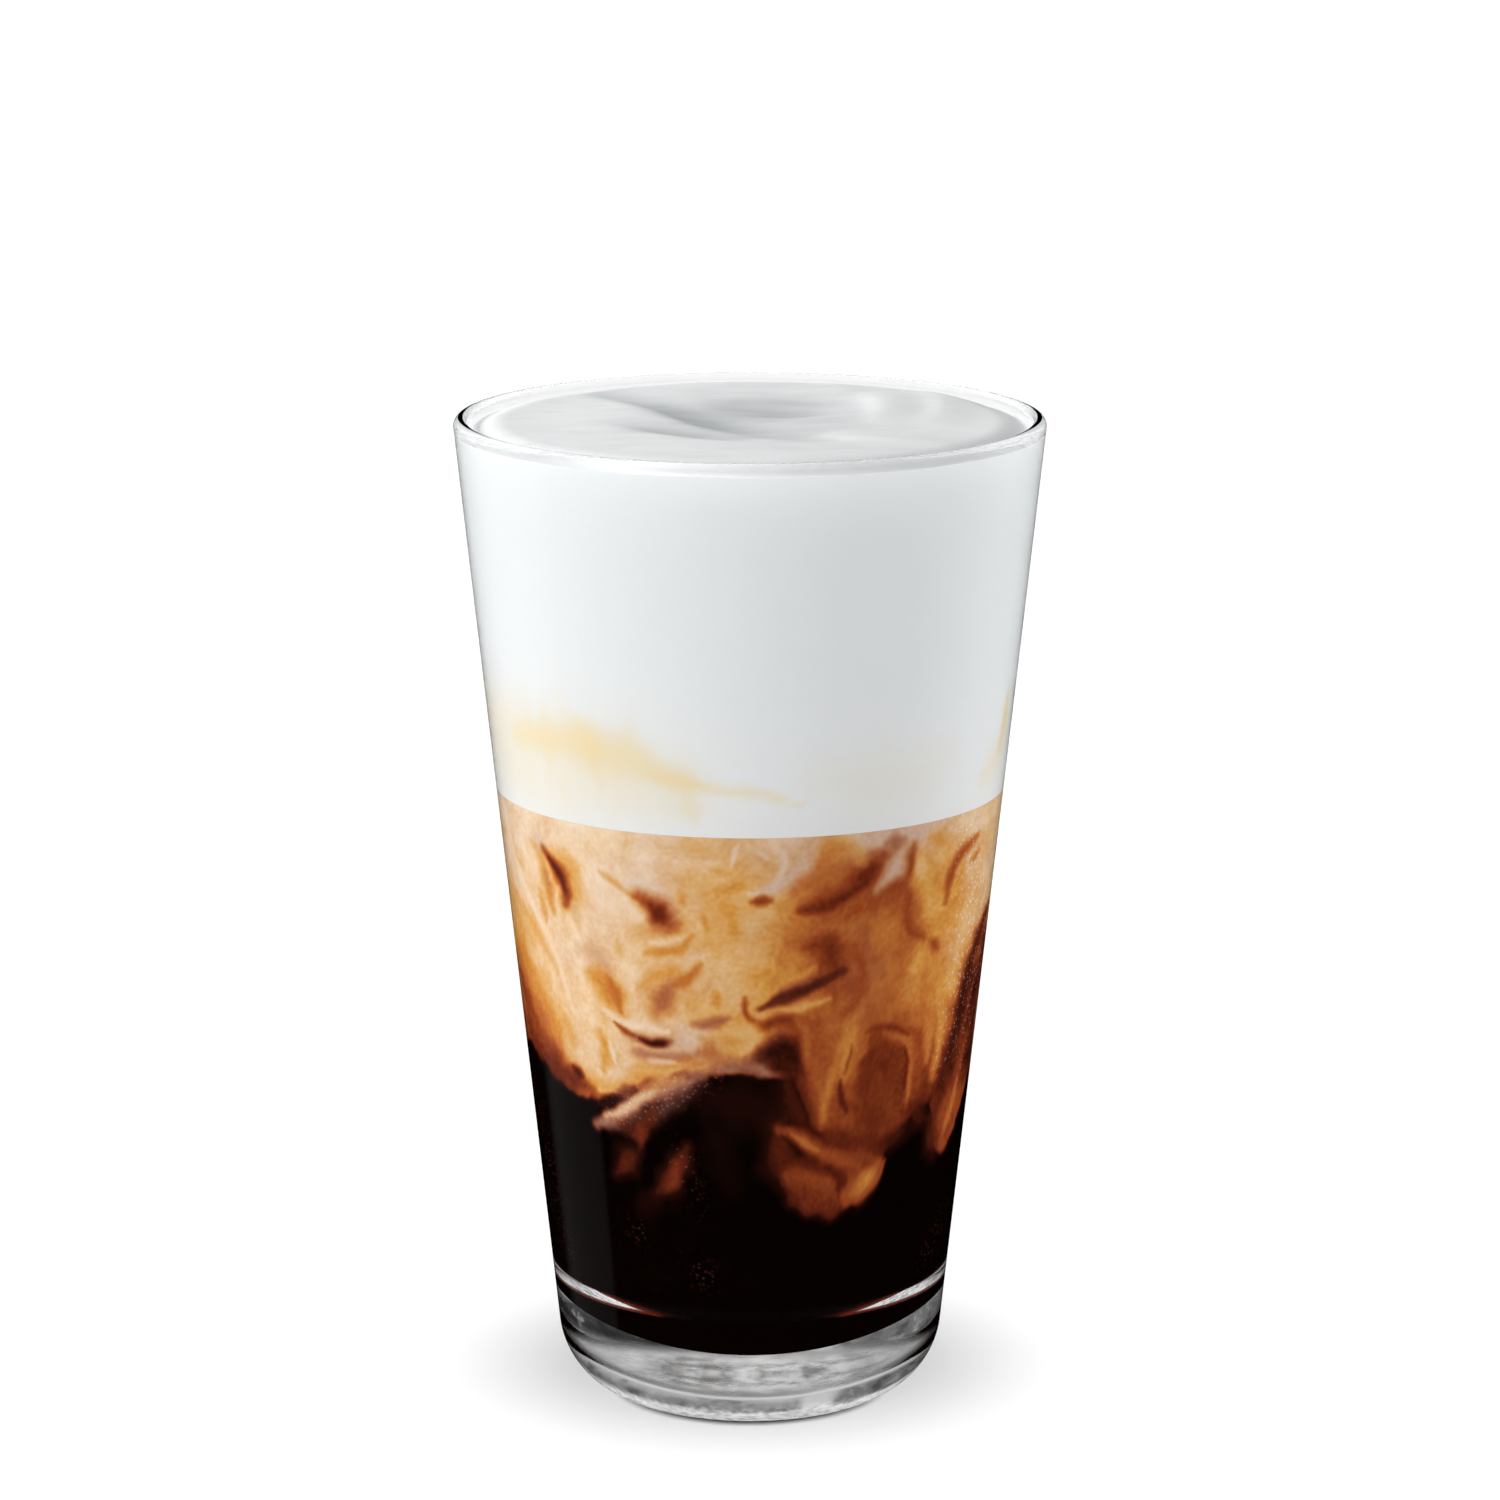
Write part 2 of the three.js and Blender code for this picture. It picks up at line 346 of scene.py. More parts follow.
# The marbling, drawn one by one
# Places are degrees round the glass from its front, to the right, and millimetres above the floor.
# Tone runs from 0, black coffee, over red-brown 0.2, brown 0.35, amber 0.6 and tan 0.75 to
# beige 0.9. Rosy is 0 for golden milk and 1 for greyish pink milk.

# Broad clouds: angle, height, tone, rosy
CLOUDS = [
    (-75, 93, .84, .6), (-60, 93, .86, .4), (-50, 93, .88, .2), (-40, 93, .90, .1), (-30, 93, .86, .3),
    (-20, 93, .82, .4), (-10, 93, .76, .1), (0, 93, .76, .4), (10, 93, .80, .6), (20, 93, .76, .5),
    (30, 93, .74, .8), (38, 93, .70, .9), (48, 93, .76, .7), (60, 93, .80, .4), (75, 93, .80, .3),
    (-75, 88, .84, .3), (-62, 88, .84, .2), (-52, 88, .84, .1), (-42, 88, .88, .1), (-32, 88, .86, .3),
    (-22, 88, .80, .5), (-12, 88, .76, .1), (-3, 88, .68, .0), (5, 88, .72, .3), (12, 88, .60, .2),
    (20, 88, .50, .0), (28, 88, .48, .0), (36, 88, .50, .4), (45, 88, .60, .0), (55, 88, .68, .1),
    (65, 88, .70, .1), (78, 88, .78, .2),
    (-75, 83, .82, .2), (-62, 83, .84, .1), (-52, 83, .82, .1), (-42, 83, .84, .2), (-34, 83, .88, .3),
    (-26, 83, .80, .3), (-15, 83, .76, .3), (-8, 83, .70, .0), (0, 83, .74, .0), (8, 83, .66, .0),
    (15, 83, .48, .0), (25, 83, .40, .0), (35, 83, .39, .0), (43, 83, .50, .0), (50, 83, .68, .0),
    (58, 83, .62, .0), (68, 83, .74, .2), (80, 83, .80, .3),
    (-78, 78, .72, .0), (-65, 78, .80, .1), (-55, 78, .84, .1), (-46, 78, .84, .2), (-38, 78, .84, .3),
    (-30, 78, .82, .1), (-20, 78, .78, .1), (-10, 78, .76, .1), (0, 78, .74, .1), (8, 78, .64, .0),
    (15, 78, .46, .0), (25, 78, .44, .1), (33, 78, .52, .0), (42, 78, .46, .0), (50, 78, .60, .0),
    (58, 78, .70, .1), (70, 78, .76, .2), (82, 78, .70, .2),
    (-78, 73, .66, .0), (-66, 73, .80, .0), (-55, 73, .84, .1), (-46, 73, .84, .2), (-40, 73, .78, .2),
    (-32, 73, .84, .1), (-22, 73, .74, .0), (-12, 73, .74, .1), (-3, 73, .72, .2), (6, 73, .66, .0),
    (14, 73, .48, .0), (22, 73, .38, .0), (30, 73, .48, .2), (38, 73, .52, .0), (46, 73, .62, .0),
    (54, 73, .60, .0), (62, 73, .72, .1), (72, 73, .64, .1), (80, 73, .24, .1),
    (-78, 68, .50, .0), (-66, 68, .72, .0), (-56, 68, .84, .0), (-46, 68, .84, .1), (-38, 68, .70, .0),
    (-30, 68, .84, .1), (-20, 68, .70, .1), (-12, 68, .78, .1), (-5, 68, .70, .0), (3, 68, .60, .0),
    (12, 68, .50, .0), (20, 68, .46, .0), (30, 68, .48, .1), (38, 68, .50, .0), (46, 68, .54, .0),
    (54, 68, .62, .0), (61, 68, .66, .0), (72, 67, .18, .1),
    (-75, 63, .36, .0), (-66, 63, .62, .0), (-58, 63, .72, .0), (-50, 63, .82, .0), (-42, 63, .84, .1),
    (-33, 63, .84, .3), (-24, 63, .70, .6), (-15, 63, .74, .5), (-6, 63, .68, .1), (2, 63, .46, .0),
    (10, 63, .32, .0), (18, 63, .42, .0), (26, 63, .50, .0), (36, 65, .44, .0), (46, 63, .42, .0),
    (54, 63, .58, .0), (60, 63, .54, .0), (70, 62, .16, .1),
    (-72, 58, .30, .0), (-64, 58, .34, .0), (-56, 59, .70, .0), (-48, 58, .84, .1), (-40, 58, .84, .3),
    (-32, 58, .78, .2), (-24, 58, .72, .1), (-15, 58, .66, .1), (-8, 58, .60, .2), (0, 58, .30, .3),
    (8, 58, .14, .0), (17, 58, .44, .0), (25, 58, .48, .0), (37, 57, .26, .0), (52, 58, .46, .0),
    (60, 57, .34, .0), (70, 55, .20, .0),
    (-66, 53, .20, .0), (-56, 53, .22, .0), (-46, 53, .60, .0), (-38, 53, .84, .1), (-30, 53, .66, .1),
    (17, 53, .42, .0), (25, 52, .38, .0), (37, 50, .26, .0), (52, 53, .30, .0), (60, 51, .20, .0),
    (24, 48, .34, .0), (32, 47, .30, .0), (40, 48, .27, .0), (68, 48, .36, .0),
    # round the back
    (100, 88, .7, .4), (100, 74, .5, .0), (100, 60, .4, .1), (130, 90, .84, .3), (130, 76, .72, .0),
    (130, 60, .5, .1), (160, 88, .74, .5), (160, 74, .62, .0), (160, 60, .7, .2), (-170, 90, .8, .2),
    (-170, 76, .5, .0), (-170, 62, .62, .1), (-140, 90, .86, .3), (-140, 76, .8, .1), (-140, 62, .5, .0),
    (-110, 88, .8, .2), (-110, 76, .84, .0), (-110, 62, .6, .0),
]
CLOUD_WIDTH = 3.6
CLOUD_HEIGHT = 3.2

# Lower edge of the milk all the way round: angle, height
MILK_EDGE = [
    (-180, 46), (-168, 50), (-152, 53), (-138, 52), (-124, 47.5), (-110, 52), (-98, 56), (-90, 57),
    (-80, 56.5), (-70, 55), (-62, 53.4), (-55, 52.5), (-48, 51.8), (-44, 53), (-40, 53.6), (-36, 53.8),
    (-32, 55.2), (-28, 56.5), (-20, 57.8), (-10, 58.8), (-3, 58.8), (3, 58.2), (9, 58), (12, 57.4),
    (14, 54.2), (16.5, 51), (20, 48.4), (25, 46.8), (30, 46), (35, 45.8), (40, 46.2), (45, 47.4),
    (49, 49), (53, 50), (57, 49.5), (60, 45), (63, 42), (67, 41), (72, 43), (78, 47), (84, 51), (94, 51),
    (104, 54), (120, 50), (132, 52.5), (146, 54), (160, 46), (170, 42), (180, 46),
]


# Streaks: path of (angle, height), width, tone, rosy, softness, strength
# Inside the milk, from the left to the right
MILK_STREAKS = [
    # veils and golden streaks at the far left
    ([(-76, 90), (-72, 85), (-66, 80), (-60, 77)], .6, .93, .3, 1, .6),
    ([(-70, 84), (-64, 79), (-58, 75), (-54, 70), (-51, 65)], .7, .94, .2, 1, .7),
    ([(-62, 90), (-58, 88), (-57, 85), (-55, 80)], 1.2, .64, 0, 1, .8),
    ([(-57, 86), (-55, 83)], 1.0, .54, .3, 1, .8),
    ([(-53, 89.5), (-48, 88), (-46, 84.5), (-47, 82)], 1.9, .65, 0, 1, .85),
    ([(-56, 83.5), (-55, 80)], .8, .6, 0, 1, .8),
    ([(-60, 82.5), (-59, 78.5)], .8, .64, 0, 1, .8),
    ([(-51, 83.5), (-51, 80.5)], .8, .64, 0, 1, .8),
    ([(-60.5, 90.8), (-56.5, 90)], 1.0, .76, 1, 1, .8),
    ([(-57, 89.6), (-53.5, 87.8), (-50.5, 85.8), (-49, 83.5), (-49.5, 81.6)], 1.15, .27, 0, .9, 1),
    ([(-55, 88.4), (-51, 86), (-49.5, 83.6)], .5, .19, 0, 1, .9),
    ([(-47, 82), (-46, 77.5)], .9, .72, .4, 1, .7),
    ([(-76, 80), (-68, 77), (-62, 74.5), (-57, 71)], 1.3, .68, 0, 1, .7),
    ([(-77, 72), (-70, 67), (-64, 63), (-60, 59)], 2.3, .6, 0, 1, .8),
    ([(-70, 64), (-64, 60)], 1.6, .5, 0, 1, .8),
    ([(-82, 67), (-77, 63), (-73, 60)], 1.5, .33, 0, 1, .9),
    ([(-78, 62), (-72, 59), (-66, 57.4), (-60, 57)], 1.9, .34, 0, 1, .9),
    ([(-73, 57), (-64, 55.3), (-55, 54), (-47, 53)], 1.7, .25, 0, 1, .95),
    ([(-54, 56), (-50, 54.8)], .8, .12, 0, 1, .9),
    # the red-brown blob with its grey halo and golden arc
    ([(-38, 88), (-33, 86.5), (-29, 84.8), (-26.5, 84)], .5, .64, 0, 1, .8),
    ([(-30, 86.5), (-25, 86.4), (-20.5, 85), (-18, 82.6)], 1.3, .82, 1, 1, .8),
    # painted shade below the blob
    ([(-28, 79.6), (-23, 80.4), (-18, 80.6)], 1.2, .65, .2, 1, .85),
    ([(-27, 84.8), (-23, 83.6), (-20.5, 82.2), (-19, 81.2)], 2.1, .31, 0, 1, 1),
    ([(-23.5, 83.4), (-20.8, 82.2)], 1.2, .23, 0, 1, .9),
    ([(-24.5, 78.3), (-19, 78), (-15.5, 79)], .8, .91, .2, 1, .8),
    ([(-26, 76.5), (-21, 76.8), (-17, 77.6), (-14.3, 79.5)], .95, .6, 0, .9, .95),
    ([(-16.3, 86), (-15.8, 84.2)], .8, .62, 0, 1, .8),
    ([(-10.8, 83), (-10.2, 80.5)], .6, .6, 0, 1, .8),
    ([(-4, 81.6), (-3.4, 79.6)], 1.0, .62, 0, 1, .8),
    ([(-7, 87), (-2, 87.4)], 1.0, .6, 0, 1, .8),
    ([(-9, 85.5), (-5, 83.2)], 1.6, .67, 0, 1, .7),
    ([(-10, 90), (-5, 89.2)], .6, .66, 0, 1, .7),
    ([(-34, 77.5), (-33, 75.5)], .8, .68, 0, 1, .7),
    # the two blobs in the middle
    ([(-46.5, 75), (-41, 74.8), (-37, 73)], 1.9, .7, .7, 1, .85),
    ([(-43.5, 71.5), (-40, 71), (-37, 69), (-35.5, 66.6)], 2.1, .57, 0, 1, .95),
    ([(-37.5, 71.5), (-35.4, 68.8), (-34.6, 66.8)], .8, .47, 0, 1, .8),
    ([(-28.5, 70.8), (-24, 72.9), (-19.5, 73.4), (-16, 72.4)], 1.2, .64, 0, 1, .9),
    ([(-24.5, 67.4), (-22, 69.3), (-20, 71.2)], 2.0, .45, .3, 1, .95),
    ([(-18.5, 71.4), (-16, 72.6), (-12.5, 75)], .9, .5, 0, .9, .9),
    ([(-14.5, 70.5), (-13, 67.8)], 1.2, .68, 0, 1, .8),
    ([(-8.6, 71), (-7.8, 68.6)], .9, .56, 0, 1, .85),
    # the slit below them, with light lips and a grey shadow
    ([(-40, 66.2), (-34, 65), (-28, 64.4), (-21, 64.3)], .8, .91, .4, 1, .9),
    ([(-34, 63.4), (-27, 62.3), (-19, 62.9)], 1.2, .38, .4, 1, .7),
    ([(-37, 64.7), (-33, 63.6), (-30, 63)], .4, .34, .1, 1, 1),
    ([(-29.5, 62.8), (-27, 62.5), (-23.5, 62.5), (-20.5, 62.9)], .62, .12, .1, .9, 1),
    ([(-31, 61.8), (-24, 61.3), (-17, 61.7)], .5, .86, .4, 1, .9),
    ([(-31, 60.7), (-24, 60.3), (-18, 60.7), (-13.5, 61)], 1.1, .48, .7, 1, .85),
    ([(-19, 62.6), (-15, 63.6), (-11.5, 65.2)], 1.9, .82, .9, 1, .8),
    ([(-14, 65.8), (-10, 65.9), (-5.5, 67)], .85, .43, .4, 1, .95),
    ([(-12.5, 63.6), (-9.5, 62)], 1.2, .6, .2, 1, .8),
    ([(-13, 61.3), (-8.5, 61)], 1.2, .48, .2, 1, .9),
    ([(-18.5, 60), (-13, 59.5)], .9, .48, .1, 1, .8),
    ([(-41.5, 62.4), (-40.4, 59.6), (-42, 56.8)], 1.25, .61, 0, 1, .95),
    # painted highlight at the golden drop's right
    ([(-39, 61), (-37.4, 58.3)], .5, .95, .3, 1, .8),
    ([(-54.5, 63.5), (-53, 60)], 1.1, .66, 0, 1, .8),
    ([(-33, 57.4), (-27, 56.9)], 1.0, .63, 0, 1, .8),
    ([(-30, 58.4), (-22, 58.8), (-13, 59.6)], .9, .64, .1, 1, .8),
    ([(-46, 54.2), (-39, 54.4), (-35, 55.2), (-30, 56.4)], .9, .66, 0, 1, .8),
    ([(-27, 59.8), (-20, 59.5)], .5, .88, .5, 1, .7),
    # pale filaments and the fold at the top right of the middle
    ([(16, 91.4), (20, 92.6), (23.5, 92.9)], 1.8, .57, 0, 1, .9),
    ([(13.5, 89.6), (17, 91.5)], 1.1, .52, 0, 1, .85),
    ([(0, 86.3), (4, 86.6), (6.5, 88), (7.6, 90), (7.5, 92.6)], .5, .85, .9, 1, .95),
    ([(4, 86.8), (8, 87.8), (11, 89.6), (14, 91.4)], 1.4, .75, 1, 1, .8),
    ([(-2.6, 93.6), (-4.8, 90.4)], .35, .88, .8, 1, .8),
    ([(2, 93), (4, 91.5)], .5, .82, .6, 1, .7),
    ([(1, 85.1), (5, 85.2)], .7, .34, 0, 1, 1),
    ([(8, 84.5), (13, 84.2)], 1.2, .6, 0, 1, .8),
    ([(11, 86.4), (17, 88), (24, 90.4)], 1.9, .48, 0, 1, .85),
    ([(13.5, 84), (18, 85), (23, 86.5), (28, 88.2), (32, 90.6), (35, 92)], 1.9, .33, 0, 1, .95),
    ([(12.5, 83.6), (17, 83.9), (22, 85), (28, 86.8)], .9, .25, 0, 1, .95),
    ([(26, 87.4), (31, 89)], 1.4, .23, 0, 1, .85),
    ([(26, 92.4), (27.5, 89.8)], .7, .6, .1, 1, .8),
    ([(26, 94), (33, 93.2), (41, 93.8), (50, 94.8)], 1.5, .75, 1, 1, .9),
    ([(34, 92.4), (38, 92.6)], 1.2, .43, .5, 1, .9),
    ([(31.5, 85.6), (34.5, 87.2), (37, 89.5), (38, 90.8)], 1.1, .71, 1, .9, .95),
    ([(41.5, 92), (41, 89), (40, 86.2)], .9, .34, 0, 1, .9),
    ([(33, 85), (37, 85.4), (40, 84.6)], 1.4, .35, 0, 1, .9),
    ([(40.8, 85), (41.3, 81), (43, 78.3), (47, 76.8)], .85, .37, 0, 1, .95),
    ([(34, 81.5), (33.5, 78)], 1.5, .56, 0, 1, .8),
    ([(28, 80), (29, 76)], 1.0, .4, .1, 1, .7),
    ([(50, 75.8), (53, 74.8)], 1.1, .38, 0, 1, .9),
    ([(44, 90.5), (45, 87), (48, 83), (49.5, 79.5)], 1.7, .7, 0, 1, .8),
    ([(43.6, 89.4), (44.6, 86.8)], 1.0, .78, .1, 1, .8),
    ([(46.5, 92.5), (52, 91.4)], 1.3, .6, 0, 1, .8),
    ([(66, 90.4), (62, 89.4), (58, 87.8), (55.4, 85), (54, 81.5)], 1.05, .36, 0, 1, .9),
    ([(68, 88), (64, 86.6)], .9, .5, 0, 1, .8),
    ([(61, 86.4), (58.5, 84)], 1.0, .61, 0, 1, .8),
    # dark patch and the sliver with its light lines
    ([(9, 78.6), (16, 79.2), (23, 78.2), (28, 75)], 1.3, .42, 0, 1, .8),
    ([(14, 77.8), (18, 78), (22, 77)], 1.5, .29, 0, 1, .9),
    ([(19, 78), (21, 75.4), (22.4, 73.4)], 1.8, .27, 0, 1, .9),
    ([(26.5, 77), (29, 74), (29, 71), (27.5, 68.6), (24, 66.6)], .9, .38, 0, 1, .85),
    ([(1, 69.6), (6, 70.8), (11, 72.6), (16, 74.8)], .65, .66, 0, 1, .9),
    ([(6, 69.8), (12, 71.4), (18, 73)], 1.0, .3, .3, 1, .85),
    ([(1.8, 68.4), (5, 69), (10, 70.2), (15, 71.6), (20, 73), (24, 73.7)], .8, .18, .2, .8, 1),
    ([(.3, 69.2), (2.4, 67.3), (7, 67.6), (13, 68.6), (20, 69.8)], .7, .68, .1, .9, 1),
    ([(-1.5, 70.4), (-1.2, 68), (1, 66.4), (5, 65.8)], .55, .34, 0, 1, .95),
    ([(2, 65.4), (6, 66.3), (11, 66.6), (16, 65.8)], .95, .3, 0, 1, .9),
    # rounded end of the tongue and the dark pocket beside it
    ([(-5, 65), (-.5, 64.8), (1.2, 63.6), (0, 62.2), (-5, 61.2)], 1.5, .75, 0, .9, 1),
    ([(0, 60.4), (4, 61), (8, 63.4)], 1.4, .28, .5, 1, .9),
    ([(4, 61.6), (8, 61.8), (11, 60.4), (12.6, 58.4)], 2.5, .13, .1, .9, 1),
    ([(6, 61.2), (11, 60)], 1.6, .09, 0, 1, .9),
    ([(12, 67), (14, 65), (14.6, 62), (15.4, 59)], .9, .5, 0, 1, .9),
    ([(16, 66), (18, 63), (19.5, 60), (20, 56), (18.6, 51.5)], 2.1, .44, 0, 1, .8),
    ([(13.8, 57.5), (14.4, 54), (17, 51)], 1.0, .34, 0, 1, .9),
    ([(23.5, 62), (22.4, 58.5), (21, 55), (19.4, 51), (18.8, 49)], .7, .58, 0, 1, .9),
    ([(26, 52), (24, 49)], 1.6, .36, 0, 1, .8),
    # the dark square with its light frame
    ([(35, 61.5), (34.8, 56), (35.4, 50)], 3.0, .27, 0, .25, 1),
    ([(39.5, 61), (40, 55.6), (39.5, 49.6)], 4.2, .28, 0, .25, 1),
    ([(36, 56), (39, 52), (43, 50)], 1.6, .32, 0, 1, .7),
    ([(31, 63.4), (36, 64), (41, 63.6), (45, 62.2)], .5, .26, 0, 1, .9),
    ([(37, 63), (42.5, 61.9), (45.3, 59.8), (46.7, 56.5), (47.2, 53), (46.6, 50.4)], .7, .5, 0, .9, .95),
    ([(45, 63.2), (48.6, 61), (50.6, 57.5), (50.5, 53)], .9, .37, 0, 1, .9),
    ([(43.6, 60.4), (45.2, 57.6), (45.6, 53.6)], .4, .19, 0, 1, .8),
    ([(27.2, 63.8), (26, 61.6), (25.6, 59.4), (25.4, 57)], 1.15, .62, 0, .8, 1),
    ([(27, 61.8), (26.6, 59.4), (25.6, 57.4)], .3, .38, 0, 1, .9),
    ([(24.6, 56.4), (25, 53.8), (26.4, 51.2)], .55, .19, 0, 1, .9),
    ([(22, 48.6), (27, 47.6), (33, 47.1), (39, 47.3), (45, 48.6), (50, 50.4)], 1.2, .31, 0, 1, .9),
    # golden streaks and dark edge at the far right
    ([(52, 63), (54, 60), (53.4, 57)], 1.2, .59, 0, 1, .9),
    ([(57, 68), (58.6, 64), (58.4, 59), (57, 54)], 1.2, .63, 0, 1, .9),
    ([(55.6, 61), (55.2, 56.4)], .6, .4, 0, 1, .8),
    ([(84, 77), (78, 75), (73, 71), (70, 66.6), (67.5, 62), (64.5, 57), (60.5, 52)], 1.7, .14, .1, 1, .95),
    ([(78, 68), (73, 61.6), (69, 55)], 1.0, .27, 0, 1, .85),
    ([(75, 58), (71, 51.6), (67.5, 46)], 1.5, .35, 0, 1, .9),
    ([(72, 51.5), (69, 47), (66.5, 44)], 1.0, .54, 0, 1, .9),
]

# Below the milk's edge: grey tongue, the lower lobe and faint wisps in the dark coffee
DARK_STREAKS = [
    ([(-45, 48.2), (-38, 48.4), (-31, 49.8), (-24, 52), (-17, 54.4), (-12, 56.4)], 1.4, .2, 1, 1, .9),
    ([(-46, 47.6), (-40, 49.4), (-32, 52.6), (-26, 54.4), (-19, 56), (-12, 57.6)], 1.3, .54, .8, 1, 1),
    ([(-42, 49.4), (-35, 51.7), (-30, 53.5), (-25, 55.1)], .8, .78, .5, 1, 1),
    ([(-44, 51), (-38, 53), (-32, 55)], .9, .14, .5, 1, .8),
    ([(-30, 54.9), (-24, 56.2), (-18, 56.9)], .9, .62, .2, 1, .9),
    ([(-12, 58.1), (-6, 59.8), (-1, 60.8)], 1.2, .5, .3, 1, .9),
    ([(-8, 58.8), (-3, 59.5), (2, 59.1), (6, 58.1), (10, 57.7)], .8, .46, .7, .9, 1),
    # brown haze between the tongue, the column and the lobe
    ([(-10, 54), (0, 53), (10, 51)], 3.6, .07, .1, 1, .9),
    ([(9, 60), (11, 56), (12.4, 52.4), (16, 49)], 2.8, .17, 0, 1, .95),
    ([(16, 48.6), (25, 45.6), (36, 44.8), (46, 46.4)], 2.0, .19, 0, 1, 1),
    ([(49, 49.6), (55, 47.4)], 2.4, .17, 0, 1, .95),
    ([(58, 47), (61, 42)], 2.4, .2, 0, 1, .95),
    # lower lobe
    ([(7, 49.4), (9.5, 44), (13, 39.5)], 2.8, .2, 0, 1, 1),
    ([(14.5, 41.5), (21, 40), (29, 40)], 4.9, .28, 0, .3, 1),
    ([(25, 43.4), (32, 42.4), (37, 42)], 3.9, .29, 0, .25, 1),
    ([(19, 47.2), (27, 46.2), (34, 45.4), (39, 44)], 1.2, .25, 0, 1, .9),
    ([(12, 38), (17, 36.8), (23, 36.4), (28, 36.6)], 1.6, .27, 0, 1, .8),
    ([(11, 42), (16, 42), (21, 40.6), (25, 38.8)], 1.9, .37, 0, 1, .9),
    ([(14, 44.3), (19, 43.5), (24, 42), (27, 40.4)], 1.1, .19, 0, 1, .95),
    ([(26.5, 41), (26, 39), (26.6, 37.2)], .6, .21, 0, 1, .85),
    ([(7.5, 49.4), (12, 48.8), (16, 47), (20, 45.2), (25, 43.8), (32, 42.6)], 1.1, .42, 0, .9, .95),
    # painted highlight along the ridge
    ([(11.5, 48.6), (15, 47.3), (18.5, 45.8)], .6, .52, 0, 1, .9),
    ([(27, 44.6), (33, 43.9), (38.5, 42.8)], .7, .35, 0, 1, .9),
    ([(28.6, 38), (32, 38.8), (35.6, 40.2), (38.6, 42.2)], 2.0, .5, 0, .8, 1),
    ([(33, 39.6), (36.4, 41.2)], 1.2, .6, 0, 1, .95),
    ([(27.6, 36.6), (33, 37.5), (38, 39.8), (41, 42.6)], .6, .42, 0, 1, .9),
    # wisps
    ([(-37, 48.4), (-33, 48), (-29, 49.5), (-27, 51.5)], 1.4, .2, 0, 1, .95),
    ([(-31.4, 48.6), (-31, 45.8)], 1.1, .27, 0, 1, .95),
    ([(-39.5, 40.8), (-36, 43), (-32, 44.6)], 1.8, .19, 0, 1, 1),
    ([(-28, 38.2), (-23.4, 40.4), (-20, 43), (-17.4, 46.2)], 1.8, .22, 0, 1, 1),
    ([(-24, 39.8), (-21.6, 41), (-20, 43.4)], 1.0, .27, 0, 1, .95),
    ([(-33, 36), (-27, 37.4)], 1.7, .07, 0, 1, .9),
    ([(-11, 51), (-7, 44), (-5, 40)], 2.4, .03, .3, 1, .9),
]

# Fine bubbles at the wall, as streaks whose strength is the share of the wall that they cover
BUBBLES = [
    ([(-84, 52), (-76, 40), (-72, 30), (-66, 24)], 3.4, 1.0, 0, 1, .8),
    ([(-38, 32.6), (-33, 31.4), (-30, 31)], 1.8, 1.0, 0, 1, .7),
    ([(-21, 29), (-16, 27), (-11, 24.6)], 2.4, 1.0, 0, 1, .8),
    ([(-44, 50), (-30, 52), (-18, 55), (-8, 57)], 2.6, 1.0, 0, 1, .6),
    ([(-22, 47), (-17, 42), (-14, 36)], 2.2, 1.0, 0, 1, .5),
    ([(60, 95), (66, 84), (68, 74), (66, 64), (62, 56)], 4.6, 1.0, 0, 1, 1.0),
    ([(84, 94), (84, 78), (78, 66), (74, 54)], 4.0, 1.0, 0, 1, 1.0),
    ([(60, 24), (68, 27), (78, 32)], 2.2, 1.0, 0, 1, .8),
]


def paint(x, y, tone, rosy, streak, seed):
    """Lays one streak over the tones at (x, y), in millimetres on the unrolled wall."""
    path, full_width, goal_tone, goal_rosy, soft, strength = streak
    line = curve([(angle * DEGREE, height) for angle, height in path])
    reach = 2.2 * full_width + 1
    near = ((x > line[:, 0].min() - reach) & (x < line[:, 0].max() + reach)
            & (y > line[:, 1].min() - reach) & (y < line[:, 1].max() + reach))
    if not near.any():
        return
    best, along, aside, end = nearest_on(line, x[near], y[near])
    side = np.sign(aside) * best
    swell = np.sqrt(np.sin(math.pi * np.clip(along / end, .03, .97)))
    width = full_width * (.45 + .55 * swell) * (1 + .35 * ripple(along, side * 0, 2.6, seed, False))
    mask = 1 - smooth((best / width - 1) / (2 * soft) + .5)
    grain = (.03 * ripple(along, side * 2, 5.0, seed + 3, False)
             + .015 * ripple(along, side * 2, 2.2, seed + 5, False))
    cover = mask * strength * (.6 + .4 * swell)
    tone[near] += (goal_tone + grain * smooth(goal_tone * 4) - tone[near]) * cover
    rosy[near] += (goal_rosy - rosy[near]) * cover


def back_copy(streak):
    """The same streak on the hidden side, mirrored, moved a little and with angles from 0 to 360."""
    path, width, tone, rosy, soft, strength = streak
    drop = 2.2 * math.sin(3 * path[0][0] + path[0][1])
    path = [((180 - angle if angle > 0 else -180 - angle) % 360, height + drop) for angle, height in path]
    return path, width, tone, rosy, soft, .85 * strength


